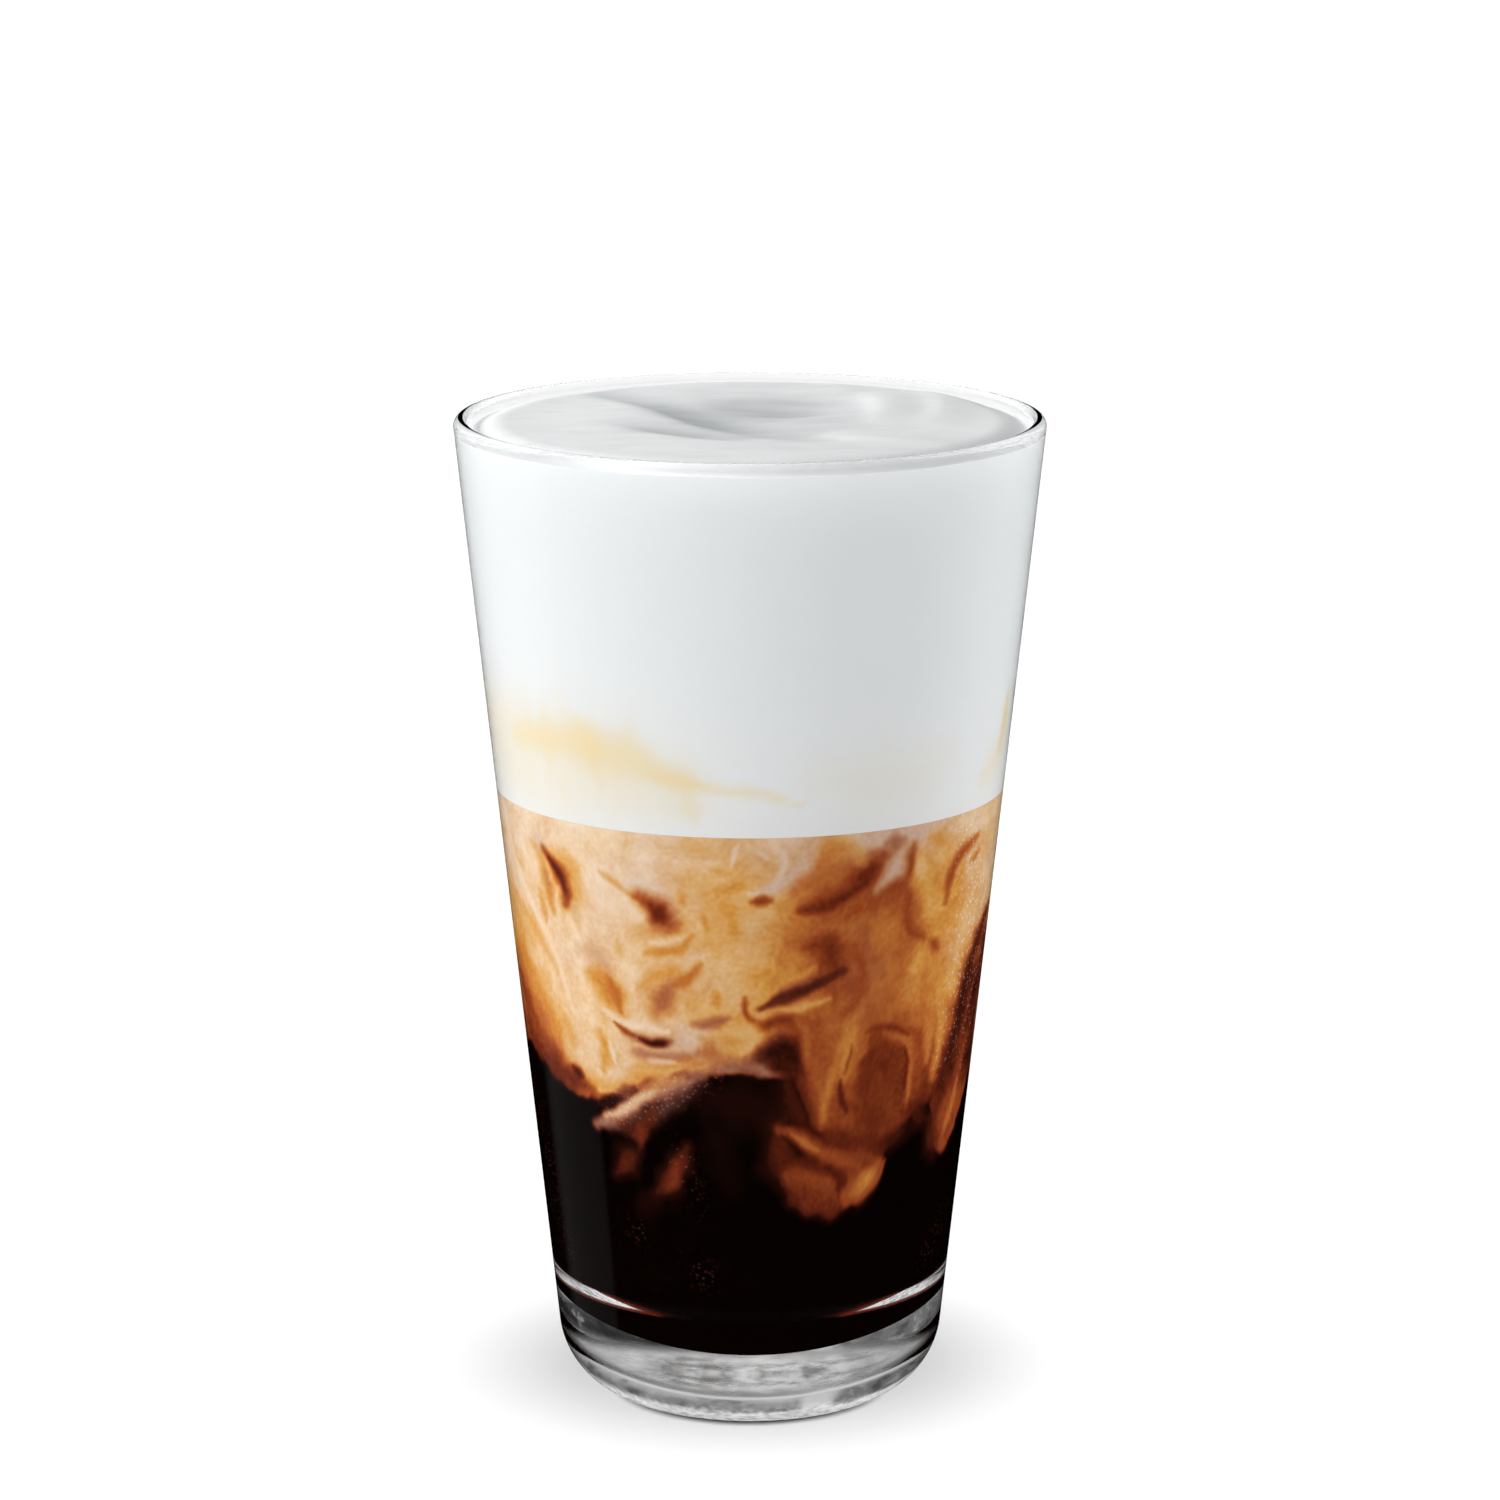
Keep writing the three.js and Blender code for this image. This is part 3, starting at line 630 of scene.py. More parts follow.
def marbling(angle, height):
    """Tone and rosiness of the drink at the wall, for angles in degrees and heights in millimetres."""
    x0, y0 = angle * DEGREE, height
    x, y = stirred(x0, y0, 9.0, .13, 6, 2)
    x, y = stirred(x, y, 3.2, .05, 4, 5)
    total, tone, rosy = 1e-9, 0.0, 0.0
    for cloud_angle, cloud_height, cloud_tone, cloud_rosy in CLOUDS:
        across = (x - cloud_angle * DEGREE + TURN_WIDTH / 2) % TURN_WIDTH - TURN_WIDTH / 2
        weight = np.exp(-(across / CLOUD_WIDTH) ** 2 - ((y - cloud_height) / CLOUD_HEIGHT) ** 2) + 1e-12
        total, tone, rosy = total + weight, tone + weight * cloud_tone, rosy + weight * cloud_rosy
    tone, rosy = tone / total, rosy / total
    # filaments of the stirred milk
    fx, fy = stirred(x0, y0, 14.0, .55, 14, 9)
    fx, fy = stirred(fx, fy, 5.0, .25, 8, 12)
    filaments = ripple(fx, fy, 6.0, 14) + .7 * ripple(fx, fy, 2.6, 15) + .4 * ripple(fx, fy, 1.2, 16)
    tone = tone + .07 * filaments
    rosy = np.clip(rosy + .25 * ripple(fx, fy, 7.0, 17) * smooth(4 * tone - 2), 0, 1)
    x_from_front = (x + TURN_WIDTH) % TURN_WIDTH
    for index, streak in enumerate(MILK_STREAKS):
        paint(x, y, tone, rosy, streak, index % 90)
        start_angle = streak[0][0][0]
        if -60 < start_angle < 60:
            paint(x_from_front, y, tone, rosy, back_copy(streak), index % 90)
    # the black coffee below the milk's edge
    border = curve([(a * DEGREE, h) for a, h in MILK_EDGE])
    edge = np.interp(x, border[:, 0], border[:, 1])
    below = smooth((edge - y + .7 * ripple(x, y, 4.0, 21) + .4 * ripple(x, y, 1.7, 22)) / 1.6 + .2)
    tone = tone * (1 - below)
    for index, streak in enumerate(DARK_STREAKS):
        paint(x, y, tone, rosy, streak, index + 20)
        paint(x_from_front, y, tone, rosy, back_copy(streak), index + 20)
    grain = .03 * ripple(fx, fy, .8, 30) + .02 * ripple(x0, y0, .6, 31)
    return np.clip(tone + grain * smooth(tone * 3), 0, 1), np.clip(rosy, 0, 1)


# Colours of the tones, as they look: golden and rosy
GOLDEN = [(0, (6, 2, 1)), (.12, (36, 12, 7)), (.25, (98, 36, 18)), (.4, (150, 68, 32)),
          (.55, (188, 108, 48)), (.65, (209, 144, 66)), (.75, (217, 168, 106)), (.85, (228, 192, 150)),
          (1, (240, 220, 192))]
ROSY = [(0, (6, 3, 2)), (.12, (48, 27, 23)), (.25, (92, 57, 47)), (.4, (132, 91, 75)),
        (.55, (168, 122, 102)), (.65, (186, 145, 122)), (.75, (203, 168, 146)), (.85, (216, 190, 170)),
        (1, (231, 217, 203))]


def linear(rgb):
    """A colour as it looks, 0 to 255, as the shader's linear value."""
    return tuple(c / 255 / 12.92 if c / 255 <= 0.04045 else ((c / 255 + 0.055) / 1.055) ** 2.4 for c in rgb)


def behind_glass(rgb):
    """The linear value that looks like rgb through the glass, which sends part of the light back."""
    directly, sent_back = 0.75, 0.17
    return tuple(c / (directly + sent_back * c) for c in linear(rgb))


# The drink's form

# The border's plumes: angle in degrees from +X, half width in degrees and drop
PLUMES = [(-124, 15, 5 * MM), (-66, 19, 19.5 * MM), (-14, 20, 14 * MM), (38, 22, 9 * MM), (82, 16, 17 * MM),
          (128, 20, 8 * MM), (168, 15, 13 * MM)]
PLUME_BASE = 53.5 * MM
CENTRE_LEVEL = 57 * MM


def border_level(part, angle):
    """Height of the border between dark and milky coffee. part is the share of the way to the wall."""
    drop = np.zeros_like(angle)
    for plume_angle, half_width, depth in PLUMES:
        turn = (np.degrees(angle) - plume_angle + 180) % 360 - 180
        drop += depth * np.cos(np.clip(np.abs(turn) / half_width, 0, 1) * math.pi / 2) ** 2
    waves = 1.6 * MM * np.sin(3 * angle + 1.1) + 0.9 * MM * np.sin(5 * angle - 0.4)
    level = CENTRE_LEVEL + (PLUME_BASE + waves - CENTRE_LEVEL) * smooth(part)
    return level - drop * smooth((part - .35) / .6)


# The foam's stirred top, in millimetres
SWIRL_X, SWIRL_Y = 4.0, 10.0
DOME, DOME_EDGE = 1.55, 5.5
SPIRAL, ARMS, PITCH, WALL_CALM = 0.25, 2, 2.3, 12.0
REACH, HOLLOW, EYE, OPEN = 9.0, 0.9, 2.0, 14.0

# Larger folds along paths of (x, y): rise and path. Ridges rise, creases sink.
FOLDS = [
    (-.55, [(-38, 23), (-28, 28), (-21, 25), (-14, 13), (-7.5, -1), (1.5, -13), (14.5, -20.5)]),
    (-.5, [(-22, -1), (-10, -13), (1.5, -21.5)]),
    (.5, [(10, -11.5), (19, -18), (30.5, -21.5)]),
    (.45, [(17, 28), (20, 18), (20, 3), (17, -3)]),
    (.45, [(23, 34), (28, 28), (29.5, 15), (28.5, 3), (25, -6)]),
]
FOLD_STEEP, FOLD_GENTLE = 2.6, 5.0  # reach of a fold on the right and on the left of its path


def fold_rise(x, y, path):
    """A fold one millimetre high: highest in the middle of its path, nothing at both ends."""
    nearest, along, aside, end = nearest_on(curve(path), x, y)
    side = np.clip(aside / np.maximum(nearest, 1e-6), -1, 1)
    reach = FOLD_STEEP + (FOLD_GENTLE - FOLD_STEEP) * (.5 + .5 * side)
    return np.sin(math.pi * along / end) * np.exp(-(nearest / reach) ** 2)


def foam_top(x, y, edge_radius):
    """Height of the foam above its edge, and how shaded its creases are, at (x, y) in millimetres."""
    sx, sy = x - SWIRL_X, y - SWIRL_Y
    away = np.hypot(sx, sy)
    from_wall = np.maximum(edge_radius - np.hypot(x, y), 0)
    rise = DOME * np.sin(math.pi / 2 * np.minimum(1, from_wall / DOME_EDGE))
    phase = ARMS * (np.arctan2(sy, sx) - PITCH * np.log1p(away / REACH))
    calm = smooth(from_wall / WALL_CALM) * smooth((away - EYE) / (OPEN - EYE))
    middle = np.exp(-(away / REACH) ** 2)
    height = rise + SPIRAL * np.sin(phase) * calm - HOLLOW * middle
    # a broad shaded zone between the creases at the left and the ridges at the right
    shade = .25 * middle + .3 * np.exp(-((x - 3) / 15) ** 2 - ((y - 8) / 22) ** 2)
    inside = smooth(from_wall / DOME_EDGE)
    for size, path in FOLDS:
        fold = fold_rise(x, y, path) * inside
        height = height + size * fold
        shade = shade - size * fold
    # fine streaks that follow the stirring
    fx, fy = stirred(x, y, 30.0, .3, 8, 51)
    fx, fy = stirred(fx, fy, 11.0, .25, 6, 52)
    streaks = ripple(fx * .45, fy, 5.0, 53) + .5 * ripple(fx * .45, fy, 2.4, 54)
    return .97 * height + .08 * streaks * inside, np.clip(1.4 * shade - .14 * streaks * inside, 0, 1)


def crowd_to_front(points):
    """Moves the columns round the axis, so that they stand closer at the front, where -Y is."""
    crowding = 0.4
    angle = np.arctan2(points[:, 0], -points[:, 1])
    radius = np.hypot(points[:, 0], points[:, 1])
    angle = angle - crowding * np.sin(angle)
    points[:, 0], points[:, 1] = radius * np.sin(angle), -radius * np.cos(angle)
    return points


def shares(count):
    return [i / count for i in range(1, count)]


# Both coffees are spun with a flat border at this level, and then stretched to the plumes
FLAT_LEVEL = 50 * MM
RINGS = (.18, .35, .5, .64, .78, .9)  # rings of points on the border, as shares of its radius


def dark_coffee_piece():
    sizes = bpy.context.scene.cappuccino_drink
    bowl_bottom = bpy.context.scene.cappuccino_glass.bowl_bottom
    bottom = list(reversed(inner_bottom(sizes.bite, 12, 28)))
    wall_start, level = bottom[-1][1], FLAT_LEVEL
    coarse, fine = 2 * MM, 0.3 * MM
    heights = [wall_start + coarse * i for i in range(1, 7)]
    while heights[-1] + fine < level - 0.1 * MM:
        heights.append(heights[-1] + fine)
    wall = [(inner_radius(z) + sizes.bite, z) for z in heights]
    rim = inner_radius(level) + sizes.bite
    border = [(rim, level)] + [(rim * part, level) for part in (*reversed(RINGS), 0)]
    section = [(0.0, bowl_bottom - sizes.bite)] + bottom + wall + border
    piece = spun_piece("coffee_dark", section, sizes.columns)
    points = crowd_to_front(points_of(piece))
    angle, radius = polar(points)
    on_border = points[:, 2] > level - 0.05 * MM
    part = np.where(on_border, radius / rim, 1.0)
    share = np.clip((points[:, 2] - wall_start) / (level - wall_start), 0, None)
    stretched = points[:, 2] + (border_level(np.ones_like(part), angle) - level) * share
    height = np.where(on_border, border_level(part, angle), stretched)
    on_wall = points[:, 2] > wall_start + 0.01 * MM
    set_polar(piece, angle, np.where(on_wall, part * (inner_radius(height) + sizes.bite), radius), height)
    return piece


def milky_coffee_piece():
    sizes = bpy.context.scene.cappuccino_drink
    low, high = FLAT_LEVEL, sizes.foam_level
    rim = inner_radius(low) + sizes.bite
    rows = 165
    border = [(rim * part, low) for part in (0, *RINGS, 1)]
    heights = [low + (high - low) * share for share in shares(rows)]
    wall = [(inner_radius(z) + sizes.bite, z) for z in heights]
    top = inner_radius(high) + sizes.bite
    lid = [(top, high), (top * .5, high), (0.0, high)]
    piece = spun_piece("coffee_milky", border + wall + lid, sizes.columns)
    points = crowd_to_front(points_of(piece))
    angle, radius = polar(points)
    on_border = points[:, 2] < low + 0.05 * MM
    part = np.where(on_border, radius / rim, 1.0)
    start = border_level(part, angle)
    height = start + (high - start) * (points[:, 2] - low) / (high - low)
    on_top = points[:, 2] > high - 0.01 * MM
    set_polar(piece, angle, np.where(on_top, radius, part * (inner_radius(height) + sizes.bite)), height)
    return piece


def foam_piece():
    sizes = bpy.context.scene.cappuccino_drink
    low, edge = sizes.foam_level + 0.02 * MM, sizes.foam_edge
    heights = [low + 1 * MM * i for i in range(1, 22)] + [low + (22 + 6 * i) * MM for i in range(0, 5)]
    wall = [(inner_radius(z) + sizes.bite, z) for z in [low] + heights + [edge]]
    rim = inner_radius(edge) + sizes.bite
    rows = 130
    top = [(rim * (1 - s), edge + 1 * MM) for s in shares(rows)] + [(0.0, edge + 1 * MM)]
    piece = spun_piece("foam_milk", [(0.0, low), (wall[0][0] * .5, low)] + wall + top, sizes.columns)
    points = points_of(piece)
    raised = points[:, 2] > edge + 0.5 * MM
    rise, shade = foam_top(points[raised, 0] / MM, points[raised, 1] / MM, rim / MM)
    points[raised, 2] = edge + MM * rise
    set_points(piece, points)
    shades = np.zeros(len(points))
    shades[raised] = shade
    store(piece, "shade", shades)
    return piece


def paint_marbling(piece):
    angle, height = wall_places(piece)
    tone, rosy = marbling(angle, height)
    cover, other = np.zeros(len(angle)), np.zeros(len(angle))
    for index, streak in enumerate(BUBBLES):
        paint(angle * DEGREE, height, cover, other, streak, 70 + index)
    for name, values in (("milk", tone), ("rosy", rosy), ("bubbles", cover)):
        store(piece, name, values)


# The coffee stain in the foam: path of (angle, height), width, strength
STAINS = [
    ([(-100, 107), (-84, 107), (-68, 106.5), (-52, 106.5), (-38, 106), (-26, 104.5), (-12, 102)], 5.2, .34),
    ([(-100, 101), (-76, 100), (-60, 99), (-45, 99.5), (-30, 99.5), (-16, 99)], 3.6, .2),
    ([(-62, 106.5), (-54, 107), (-46, 107.2), (-38, 107.4), (-30, 106.4), (-22, 104.8), (-16, 103.4)],
     2.7, .62),
    ([(-40, 110.5), (-38, 108), (-36.5, 105.5), (-36, 102)], 1.5, .4),
    ([(-22, 104), (-15, 103), (-11, 102.4)], 1.2, .55),
    ([(-14, 102.6), (-6, 102.2), (1, 101.6), (7, 100.6), (12, 100)], .75, .5),
    ([(-14, 102), (-13.5, 99.5), (-12.5, 97)], 1.3, .3),
    ([(15, 104), (26, 103), (38, 102.5), (50, 104)], 4.2, .14),
    ([(77, 111), (76, 107), (74, 103)], 1.1, .8),
    ([(82, 108), (74, 102), (66, 99)], 2.4, .35),
    ([(150, 108), (164, 105), (178, 104)], 3, .5),
]


def paint_stain(piece):
    angle, height = wall_places(piece)
    x, y = stirred(angle * DEGREE, height, 7.0, .15, 5, 40)
    stain, other = np.zeros(len(angle)), np.zeros(len(angle))
    for index, (path, width, strength) in enumerate(STAINS):
        paint(x, y, stain, other, (path, width, 1.0, 0, 1, strength), 60 + index)
    below_top = 140
    store(piece, "stain", np.where(height < below_top, stain, 0))


# Materials

WHITE = (1.0, 1.0, 1.0, 1.0)
GLASS_IOR, COFFEE_IOR = 1.5, 1.33


class Tree:
    """Short ways to add nodes to a node tree. A value is a socket or a plain number or colour."""

    def __init__(self, tree):
        self.nodes, self.links = tree.nodes, tree.links

    def put(self, socket, value):
        if isinstance(value, bpy.types.NodeSocket):
            self.links.new(value, socket)
        else:
            socket.default_value = value

    def add(self, kind, inputs, **settings):
        """A node of that kind with its settings, and its inputs by name or number."""
        node = self.nodes.new("ShaderNode" + kind)
        for name, value in settings.items():
            setattr(node, name, value)
        for name, value in inputs.items():
            self.put(node.inputs[name], value)
        return node

    def place(self, kind="Object"):
        """Object is the place on the piece in metres, and Generated the direction in the world."""
        return self.add("TexCoord", {}).outputs[kind]

    def axes(self, vector):
        return self.add("SeparateXYZ", {0: vector}).outputs

    def read(self, name):
        """The number that store() gave to every vertex."""
        return self.add("Attribute", {}, attribute_name=name).outputs["Fac"]

    def mapped(self, value, low, high):
        """value brought from low..high to 0..1, smoothly."""
        return self.add("MapRange", {"Value": value, "From Min": low, "From Max": high},
                        interpolation_type="SMOOTHSTEP").outputs["Result"]

    def math(self, operation, first, *others):
        """The operation on the first two values, then on the result and the next value, and so on."""
        for other in others:
            first = self.add("Math", {0: first, 1: other}, operation=operation).outputs[0]
        return first

    def product(self, *values):
        return self.math("MULTIPLY", *values)

    def total(self, *values):
        return self.math("ADD", *values)

    def scaled_and_added(self, value, scale, added):
        return self.add("Math", {0: value, 1: scale, 2: added}, operation="MULTIPLY_ADD").outputs[0]

    def mixed(self, factor, a, b):
        return self.add("Mix", {"Factor": factor, "A": a, "B": b}, data_type="RGBA").outputs["Result"]

    def noise(self, place, scale, detail):
        return self.add("TexNoise", {"Vector": place, "Scale": scale, "Detail": detail}).outputs["Fac"]

    def distance(self, place, centre):
        return self.add("VectorMath", {0: place, 1: centre}, operation="DISTANCE").outputs["Value"]

    def ramp(self, factor, stops):
        """Colours at their places. The first place is 0 and the last is 1."""
        node = self.add("ValToRGB", {"Fac": factor})
        elements = node.color_ramp.elements
        for element, stop in ((elements[0], stops[0]), (elements[1], stops[-1])):
            element.position, element.color = stop[0], (*stop[1], 1)
        for place, rgb in stops[1:-1]:
            elements.new(place).color = (*rgb, 1)
        return node.outputs["Color"]


def material(name, plain):
    """A new material, its tree and its shader's inputs, which get the plain values."""
    new = bpy.data.materials.new(name)
    new.use_nodes = True
    tree, shader = Tree(new.node_tree), new.node_tree.nodes["Principled BSDF"].inputs
    for socket, value in plain.items():
        tree.put(shader[socket], value)
    return new, tree, shader


def marbled_coffee_group():
    """Colour of coffee with milk in it, from the share of milk, how rosy it is and its bubbles."""
    group = bpy.data.node_groups.get("Marbled coffee")
    if group:
        return group
    group = bpy.data.node_groups.new("Marbled coffee", "ShaderNodeTree")
    for name in ("Milk", "Rosy", "Bubbles"):
        group.interface.new_socket(name=name, in_out="INPUT", socket_type="NodeSocketFloat")
    group.interface.new_socket(name="Color", in_out="OUTPUT", socket_type="NodeSocketColor")
    given, result = group.nodes.new("NodeGroupInput").outputs, group.nodes.new("NodeGroupOutput").inputs
    tree = Tree(group)
    place = tree.place()
    grain_scale, grain_strength = 1400, 0.12
    centred = tree.math("SUBTRACT", tree.noise(place, grain_scale, 4), 0.5)
    grainy = tree.scaled_and_added(tree.product(centred, given["Milk"]), grain_strength, given["Milk"])
    # bubbles show as small pale greyish dots: the bubbles are real, and their paleness is a painted
    # highlight of the light they catch
    cell_scale, dot_edge, dot_core, dot_paleness = 1250, 0.34, 0.2, 0.17
    cells = tree.add("TexVoronoi", {"Vector": place, "Scale": cell_scale}).outputs["Distance"]
    dots = tree.product(tree.mapped(cells, dot_edge, dot_core), given["Bubbles"])
    paler = tree.total(grainy, tree.product(dots, dot_paleness))
    golden, rosy = [tree.ramp(paler, [(tone, behind_glass(rgb)) for tone, rgb in stops])
                    for stops in (GOLDEN, ROSY)]
    tree.put(result["Color"], tree.mixed(tree.total(given["Rosy"], dots), golden, rosy))
    return group


def coffee_material(name):
    """Coffee seen through the glass. Where a ray in the glass strikes it at a slant, it turns back."""
    new, tree, shader = material(name, {"Roughness": 0.0, "Specular IOR Level": 0.0})
    group = tree.add("Group", {}, node_tree=marbled_coffee_group())
    for socket in group.inputs:
        tree.put(socket, tree.read(socket.name.lower()))
    turned_back = tree.add("Fresnel", {"IOR": COFFEE_IOR / GLASS_IOR}).outputs["Fac"]
    # the bowl's middle stays dark, and a painted red line, standing in for light refracted where the
    # turning back begins, runs round it
    bowl_edge, wall_start, painted_red_refraction = 17.6 * MM, 18.7 * MM, (*linear((120, 38, 16)), 1)
    turned = tree.product(turned_back, tree.mapped(tree.axes(tree.place())["Z"], bowl_edge, wall_start))
    nearly, wholly = tree.mapped(turned, 0.12, 0.5), tree.mapped(turned, 0.8, 1.0)
    edge = tree.mixed(nearly, group.outputs["Color"], painted_red_refraction)
    tree.put(shader["Base Color"], tree.mixed(wholly, edge, WHITE))
    tree.put(shader["Metallic"], turned)
    return new


def glass_material():
    new, tree, shader = material("Clear glass", {
        "Base Color": WHITE, "Roughness": 0.0, "IOR": GLASS_IOR, "Transmission Weight": 1.0,
        "Emission Strength": 1.0})
    place = tree.place()
    height = tree.axes(place)["Z"]
    # the moulded underside is stippled, and from the inside it is seen so further up the rounded heel
    below = tree.mapped(height, 4 * MM, 1.6 * MM)
    from_inside = tree.add("NewGeometry", {}).outputs["Backfacing"]
    heel = tree.product(tree.mapped(height, 6.5 * MM, 4.2 * MM), from_inside)
    underside = tree.math("MAXIMUM", below, heel)
    normal = None
    for cells_per_metre, depth in ((330, 0.11 * MM), (1500, 0.05 * MM)):
        stipple = tree.product(tree.noise(place, cells_per_metre, 1), underside)
        bump = tree.add("Bump", {"Distance": depth, "Height": stipple})
        if normal:
            tree.put(bump.inputs["Normal"], normal)
        normal = bump.outputs["Normal"]
    tree.put(shader["Normal"], normal)
    cloud_scale, clear, frosted, most_rough = 240, 0.0, 0.7, 0.8
    clouds = tree.mapped(tree.noise(place, cloud_scale, 2), clear, frosted)
    tree.put(shader["Roughness"], tree.product(clouds, underside, most_rough))
    # pale specks of painted glow on the stipple near the floor, standing in for light from the table that
    # it catches
    speck_scale, speck_glow = 900, 0.42
    specks = tree.mapped(tree.noise(place, speck_scale, 2), 0.25, 0.75)
    painted_speck_glow = tree.product(specks, tree.mapped(height, 5.5 * MM, 3 * MM), speck_glow)
    tree.put(shader["Emission Color"], painted_speck_glow)
    return new


def foam_material():
    colours = bpy.context.scene.cappuccino_colours
    foam, crease, stain = (*colours.foam, 1), (*colours.crease, 1), (*colours.stain, 1)
    new, tree, shader = material("Milk foam", {"Roughness": 0.45, "Specular IOR Level": 0.2})
    # painted shade in the creases and the hollow of the top, from the shade attribute, with the coffee
    # stain over it
    stained = tree.mixed(tree.read("stain"), tree.mixed(tree.read("shade"), foam, crease), stain)
    # very fine bubbles, which only show as a grain
    bubble_scale, bubble_depth, grain_strength = 2600, 0.04 * MM, 0.05
    bubbles = tree.noise(tree.place(), bubble_scale, 3)
    bump = tree.add("Bump", {"Strength": 0.25, "Distance": bubble_depth, "Height": bubbles})
    tree.put(shader["Normal"], bump.outputs["Normal"])
    grain = tree.product(tree.mapped(bubbles, 0.3, 0.8), grain_strength)
    tree.put(shader["Base Color"], tree.mixed(grain, stained, crease))
    return new


# The stage

def foam_light():
    """The light that grazes the foam's top from the left, and lights nothing else."""
    place, top, width = Vector((-0.9, 0.3, 0.55)), Vector((0, 0, GLASS_TOP)), 0.3
    data = bpy.data.lights.new("top_light", "AREA")
    data.shape = "RECTANGLE"
    data.size = data.size_y = width
    data.energy = bpy.context.scene.cappuccino_stage.top_power
    light = bpy.data.objects.new("top_light", data)
    light.location = place
    light.rotation_euler = (top - place).to_track_quat("-Z", "Y").to_euler()
    light.visible_glossy = light.visible_transmission = False
    bpy.context.collection.objects.link(light)
    lit = bpy.data.collections.new("lit by the top light")
    lit.objects.link(bpy.data.objects["foam_milk"])
    light.light_linking.receiver_collection = lit


# What the glass shows of the room round it: elevation in degrees and grey
ROOM = [(-90, 250), (-7, 245), (-4, 90), (0, 62), (6, 56), (11, 84), (15, 135), (19, 190), (23, 226),
        (29, 230), (33, 60), (60, 20)]
# Lighter parts of the room's back: edges, by the sideways part of the direction, and grey
WINDOW, WINDOW_GREY = (-0.36, -0.29, -0.22, -0.17), 205
SIDE, SIDE_GREY = (-0.32, -0.40), 120
# Its smoky parts: the noise's values where they begin and are full, strength and grey
SMOKE_SCALE = 9
SMOKE = [((0.45, 0.7), 0.55, 24), ((0.45, 0.25), 0.45, 215)]
# What the glass mirrors: a faint panel at the left and a ceiling
PANEL, PANEL_GLOW = (-0.6, -0.75), 0.07
CEILING, CEILING_GLOW = (0.3, 0.5), 0.8

# Soft lights: azimuth, from 0 at the front to 90 at the right, elevation and the setting of their strength
BEAMS = [(-55, 20, "key"), (-125, 15, "left_edge"), (125, 15, "right_edge")]
BEAM_POWER = 12  # how narrow they are
BEAMS_ON_FREE = 0.06  # their share on what stands free
LIGHT_TINT = (0.975, 0.99, 1.0)


def grey_light(grey):
    return linear((grey,) * 3)


def beam(tree, direction, azimuth, elevation, strength):
    """Soft light from one side of the room."""
    turn, rise = math.radians(azimuth), math.radians(elevation)
    towards = (math.sin(turn) * math.cos(rise), -math.cos(turn) * math.cos(rise), math.sin(rise))
    dot = tree.add("VectorMath", {0: direction, 1: towards}, operation="DOT_PRODUCT").outputs["Value"]
    return tree.product(tree.math("POWER", tree.math("MAXIMUM", dot, 0), BEAM_POWER), strength)


def room_seen(tree, direction, low):
    """What the glass shows of the room. low is 1 in the lower part of its back."""
    sideways, up = tree.axes(direction)["X"], tree.axes(direction)["Z"]
    stops = [(0.5 + 0.5 * math.sin(math.radians(elevation)), grey_light(grey)) for elevation, grey in ROOM]
    height = tree.add("MapRange", {"Value": up, "From Min": -1}).outputs["Result"]
    seen = tree.ramp(height, stops + [(1, stops[-1][1])])
    side = tree.mapped(sideways, *SIDE)
    pane = tree.product(tree.mapped(sideways, *WINDOW[:2]), tree.mapped(sideways, *reversed(WINDOW[2:])))
    for part, grey in ((side, SIDE_GREY), (pane, WINDOW_GREY)):
        seen = tree.mixed(tree.product(part, low), seen, (*grey_light(grey), 1))
    # smoky unevenness, so that the base doesn't look banded
    smoke = tree.noise(direction, SMOKE_SCALE, 4)
    for span, strength, grey in SMOKE:
        smoky = tree.product(tree.mapped(smoke, *span), low, strength)
        seen = tree.mixed(smoky, seen, (*grey_light(grey), 1))
    return seen


def surroundings():
    """White for the camera, a grey room through the glass and soft light from all sides for the rest."""
    settings = bpy.context.scene.cappuccino_stage
    world = bpy.data.worlds.new("Studio")
    bpy.context.scene.world = world
    world.use_nodes = True
    tree = Tree(world.node_tree)
    ray = tree.add("LightPath", {}).outputs
    direction = tree.place("Generated")
    sideways, back, up = [tree.axes(direction)[axis] for axis in "XYZ"]
    behind = tree.mapped(back, -0.05, 0.02)
    low = tree.product(tree.mapped(up, 0.36, 0.3), tree.mapped(up, -0.12, -0.02), behind)
    # the soft lights, apart for what stands free and for the drink, which they reach through the glass
    beams = tree.total(*[beam(tree, direction, azimuth, elevation, getattr(settings, name))
                         for azimuth, elevation, name in BEAMS])
    free, drink = [
        tree.add("VectorMath", {0: LIGHT_TINT, "Scale": tree.scaled_and_added(beams, beam_share, sky)},
                 operation="SCALE").outputs["Vector"]
        for beam_share, sky in ((BEAMS_ON_FREE, settings.sky), (1.0, settings.through_glass))]
    panel = tree.product(tree.mapped(sideways, *PANEL), behind, PANEL_GLOW)
    ceiling = tree.product(tree.mapped(up, *CEILING), CEILING_GLOW)
    look = tree.mixed(ray["Is Camera Ray"], free, WHITE)
    look = tree.mixed(ray["Is Glossy Ray"], look, tree.total(panel, ceiling))
    look = tree.mixed(ray["Is Transmission Ray"], look, room_seen(tree, direction, low))
    scattered = tree.mixed(ray["Is Transmission Ray"], free, drink)
    look = tree.mixed(tree.mapped(ray["Diffuse Depth"], 0.4, 0.6), look, scattered)
    tree.put(tree.nodes["Background"].inputs["Color"], look)


